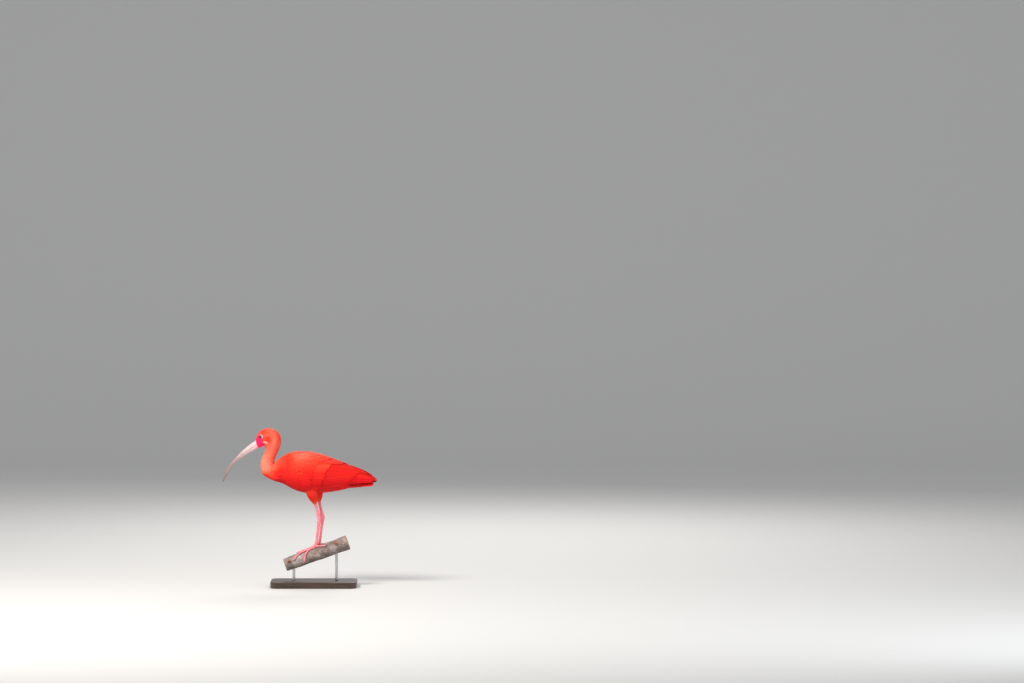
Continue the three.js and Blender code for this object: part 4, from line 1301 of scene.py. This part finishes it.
def scute_material():
    m = Nodes("leg_scutes", 0.36)
    reds = [(0.0, (0.84, 0.19, 0.22)), (0.6, (0.92, 0.26, 0.29)), (1.0, (0.98, 0.35, 0.38))]
    colour = m.ramp(m.value("tone"), reds)
    m.colour(m.tinted(colour, m.noise(300.0), [(0.3, (0.85, 0.8, 0.8)), (0.7, 1.0)]))
    return m.material


wear(scutes(), scute_material(), "leg_skin")

# The branch's twig stubs: the place along it, degrees from its top, how far out, and radius
STUBS = [[-85, 66, 8, 4.2], [60, 62, 8, 4.6], [38, -70, 10, 5]]


def branch_parts():
    t, a = grid(420, 220)
    length = PERCH["back"] - PERCH["front"]
    place = PERCH["front"] + length * t
    base = branch_at(place, a, 0)
    coarse = waves(base, 0.09, 21) * 0.5
    ridges = waves(base * np.array([0.45, 1, 1]) + waves(base, 0.12, 22)[..., None] * 1.5, 0.75, 23)
    cracks = bell(waves(base * np.array([0.28, 1, 1]), 0.55, 24) / 0.10)
    cracks = cracks * smooth(-0.25, 0.5, waves(base, 0.1, 28))
    splits = bell(waves(base * np.array([1, 0.3, 0.3]), 0.42, 29) / 0.07)
    fine = waves(base, 2.6, 25) * 0.2 + waves(base * np.array([0.4, 1, 1]), 1.6, 31) * 0.2
    height = 0.6 * coarse + 0.5 * np.minimum(ridges, 0.3) - 0.9 * cracks - 0.35 * splits + fine - 0.1
    ends = np.minimum(t, 1 - t) * length
    height = height * smooth(0, 1.2, ends) - 0.9 * (1 - smooth(0, 1.6, ends))
    yield branch_at(place, a, np.minimum(height, 0.12))
    for spot, turn, size, radius in STUBS:
        low, high = branch_at([spot, spot + size / 2], math.radians(turn), [-7, size])
        s, w = grid(26, 28)
        taper = radius * np.array([1.7, 1.5, 1.05, 0.86, 0.8])
        stub = limb_at([low, lerp(low, high, 0.5), high], taper, s, w)
        rough = waves(stub * np.array([1, 1, 0.4]), 1.6, 27) * 0.4 - 0.5 * (1 - smooth(0, 0.08, 1 - s))
        yield stub + unit(stub - stub.mean(1, keepdims=True)) * rough[..., None]


def make_branch():
    made = joined("perch_bark", [loft_object("branch_part", rings) for rings in branch_parts()])
    p = points_of(made)
    far = (p - HEART) @ ALONG
    out = np.linalg.norm(p - HEART - far[:, None] * ALONG, axis=1) - branch_radius(far)
    set_value(made.data, "cut", 1 - smooth(0.0, 1.0, np.minimum(far - PERCH["front"], PERCH["back"] - far)))
    set_value(made.data, "stub", smooth(3.6, 6.0, out + 1.2 * waves(p, 0.9, 30)))
    # Darker the deeper the bark sinks in its cracks: partly the cracks' own dark bark, partly painted shade
    set_value(made.data, "crack", 0.75 * smooth(-0.5, -1.7, out))
    return made


def bark_material():
    m = Nodes("bark", 0.85)
    patch = m.noise(38.0, 6.0)
    greys = [(0.32, (0.12, 0.085, 0.07)), (0.5, (0.235, 0.18, 0.16))]
    greys += [(0.64, (0.36, 0.295, 0.28)), (0.8, (0.52, 0.44, 0.43))]
    colour = m.tinted(m.ramp(patch, greys), m.noise(120.0, 4.0), [(0.5, 1.0), (0.62, (1.35, 1.3, 1.28))])
    # The cracks' dark colour: partly their own, partly painted shade
    colour = m.mix(m.value("crack"), colour, (0.070, 0.048, 0.038))
    colour = m.mix(m.value("stub"), colour, (0.36, 0.12, 0.05))
    rings = m.ramp(m.noise(90.0, 2.0), [(0.3, (0.42, 0.27, 0.15)), (0.7, (0.55, 0.38, 0.23))])
    m.colour(m.mix(m.value("cut"), colour, rings))
    first = m.bump(m.noise(420.0, 6.0), 0.7, 0.0012)
    m.bump(patch, 0.5, 0.002, first)
    return m.material


wear(make_branch(), bark_material(), "bark", "perch_branch")

# The stand
BASE = {"length": 250.0, "width": 150.0, "thick": 18.0, "corner": 22.0, "edge": 2.5}
ROD_RADIUS = 4.0


def wood_material():
    m = Nodes("base_wood", 0.38, Coat_Weight=0.25, Coat_Roughness=0.25)
    stretch = m.add("ShaderNodeMapping", {0: m.place(), "Scale": (1.2, 14.0, 14.0)}).outputs[0]
    grain = m.noise(16.0, 6.0, stretch, Distortion=0.6)
    browns = [(0.3, (0.020, 0.010, 0.006)), (0.5, (0.045, 0.022, 0.013)), (0.72, (0.085, 0.043, 0.024))]
    m.colour(m.ramp(grain, browns))
    m.bump(grain, 0.12, 0.0003)
    return m.material


def steel_material():
    m = Nodes("rod_steel", 0.28, 1.0)
    m.colour(m.ramp(m.noise(60.0), [(0.3, (0.46, 0.46, 0.47)), (0.7, (0.60, 0.60, 0.61))]))
    return m.material


def stand_base():
    thick, corner, edge = BASE["thick"], BASE["corner"], BASE["edge"]
    turn = np.linspace(0, TURN, 96, endpoint=False)
    cos, sin = np.cos(turn), np.sin(turn)
    x = np.sign(np.round(cos, 9)) * (BASE["length"] / 2 - corner)
    y = np.sign(np.round(sin, 9)) * (BASE["width"] / 2 - corner)
    profile = [(0.0, 2.0), (0.6, 0.7), (2.0, 0.0), (thick / 2, 0.0)]
    for k in range(7):
        angle = k / 6 * math.pi / 2
        profile.append((thick - edge + edge * math.sin(angle), edge * (1 - math.cos(angle))))
    rings = [vec(x + (corner - inset) * cos, y + (corner - inset) * sin, z) for z, inset in profile]
    return loft_object("stand_plinth", np.stack(rings))


plinth = stand_base()
plinth.data.polygons.foreach_set("use_smooth", np.full(len(plinth.data.polygons), False))
wear(plinth, wood_material(), "base_wood", "stand_base")
steel = steel_material()
for name, x in ROD_AT.items():
    low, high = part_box(name)
    t, a = grid(24, 40)
    z = lerp(low[2] / MM - 0.3, high[2] / MM + 1.5, t)
    rod = loft_object(f"{name}_steel", vec(x + ROD_RADIUS * np.sin(a), ROD_RADIUS * np.cos(a), z))
    wear(rod, steel, "rod_steel", name)

# Floor, light and camera, in metres
sweep = [(5 + 4 * math.sin(k * math.pi / 20), 4 - 4 * math.cos(k * math.pi / 20)) for k in range(1, 11)]
steps = [(-14, 0.0), (5, 0.0), *sweep, (9, 14.0)]
floor_points = np.array([(x, y, z - 0.00002) for y, z in steps for x in (-16, 16)])
floor_faces = [[2 * k, 2 * k + 1, 2 * k + 3, 2 * k + 2] for k in range(len(steps) - 1)]
floor = plain_object("floor", floor_points / MM, floor_faces)
floor.data.materials.append(Nodes("floor", 0.9, Base_Color=(0.62, 0.615, 0.60, 1)).material)

world = bpy.data.worlds.new("studio")
bpy.context.scene.world = world
world.use_nodes = True
world.node_tree.nodes["Background"].inputs["Color"].default_value = (0.93, 0.95, 1.0, 1)
world.node_tree.nodes["Background"].inputs["Strength"].default_value = 0.52
MIDDLE = (0.0, 0.0, 0.25)


def area_light(name, spot, size, power, colour):
    light = bpy.data.lights.new(name, "AREA")
    light.shape = "DISK"
    light.size = size
    light.energy = power
    light.color = colour
    obj = add_object(name, light)
    obj.location = spot
    x, y, z = np.array(MIDDLE) - np.array(spot)
    obj.rotation_euler = (math.atan2(math.hypot(x, y), -z), 0, math.atan2(y, x) - math.pi / 2)


area_light("key", (-1.4, -2.0, 2.6), 1.1, 120, (1.0, 0.96, 0.9))
area_light("fill", (2.4, -1.8, 1.2), 2.0, 22, (0.9, 0.95, 1.0))
area_light("back", (0.6, 2.4, 2.2), 1.6, 45, (1.0, 0.98, 0.95))

# The photo shows the bird low and left of its middle, from far off and a little above it
PIXEL = 0.0029
FRAME_PX = 1024
FRAME_MIDDLE_PX = (512, 341.5)
ORIGIN_PX = (313.8, 586.9)
BIRD_PX = (300, 495)
DISTANCE = 20.0
RISE = math.radians(3.0)
SENSOR = 36
view_way = np.array([0, math.cos(RISE), -math.sin(RISE)])
view_up = np.array([0, math.sin(RISE), math.cos(RISE)])
anchor = np.array([(BIRD_PX[0] - ORIGIN_PX[0]) * PIXEL, 0.0, (ORIGIN_PX[1] - BIRD_PX[1]) * PIXEL])
right = np.array([1.0, 0, 0]) * (FRAME_MIDDLE_PX[0] - BIRD_PX[0]) * PIXEL
aim = anchor + right + view_up * (BIRD_PX[1] - FRAME_MIDDLE_PX[1]) * PIXEL
camera_data = bpy.data.cameras.new("camera")
camera_data.sensor_width = SENSOR
camera_data.lens = SENSOR * DISTANCE / (FRAME_PX * PIXEL)
camera_data.clip_end = 200
camera = add_object("camera", camera_data)
camera.location = aim - view_way * DISTANCE
camera.rotation_euler = (math.pi / 2 - RISE, 0, 0)
bpy.context.scene.camera = camera
bpy.context.scene.view_settings.view_transform = "Standard"
bpy.context.scene.view_settings.look = "None"
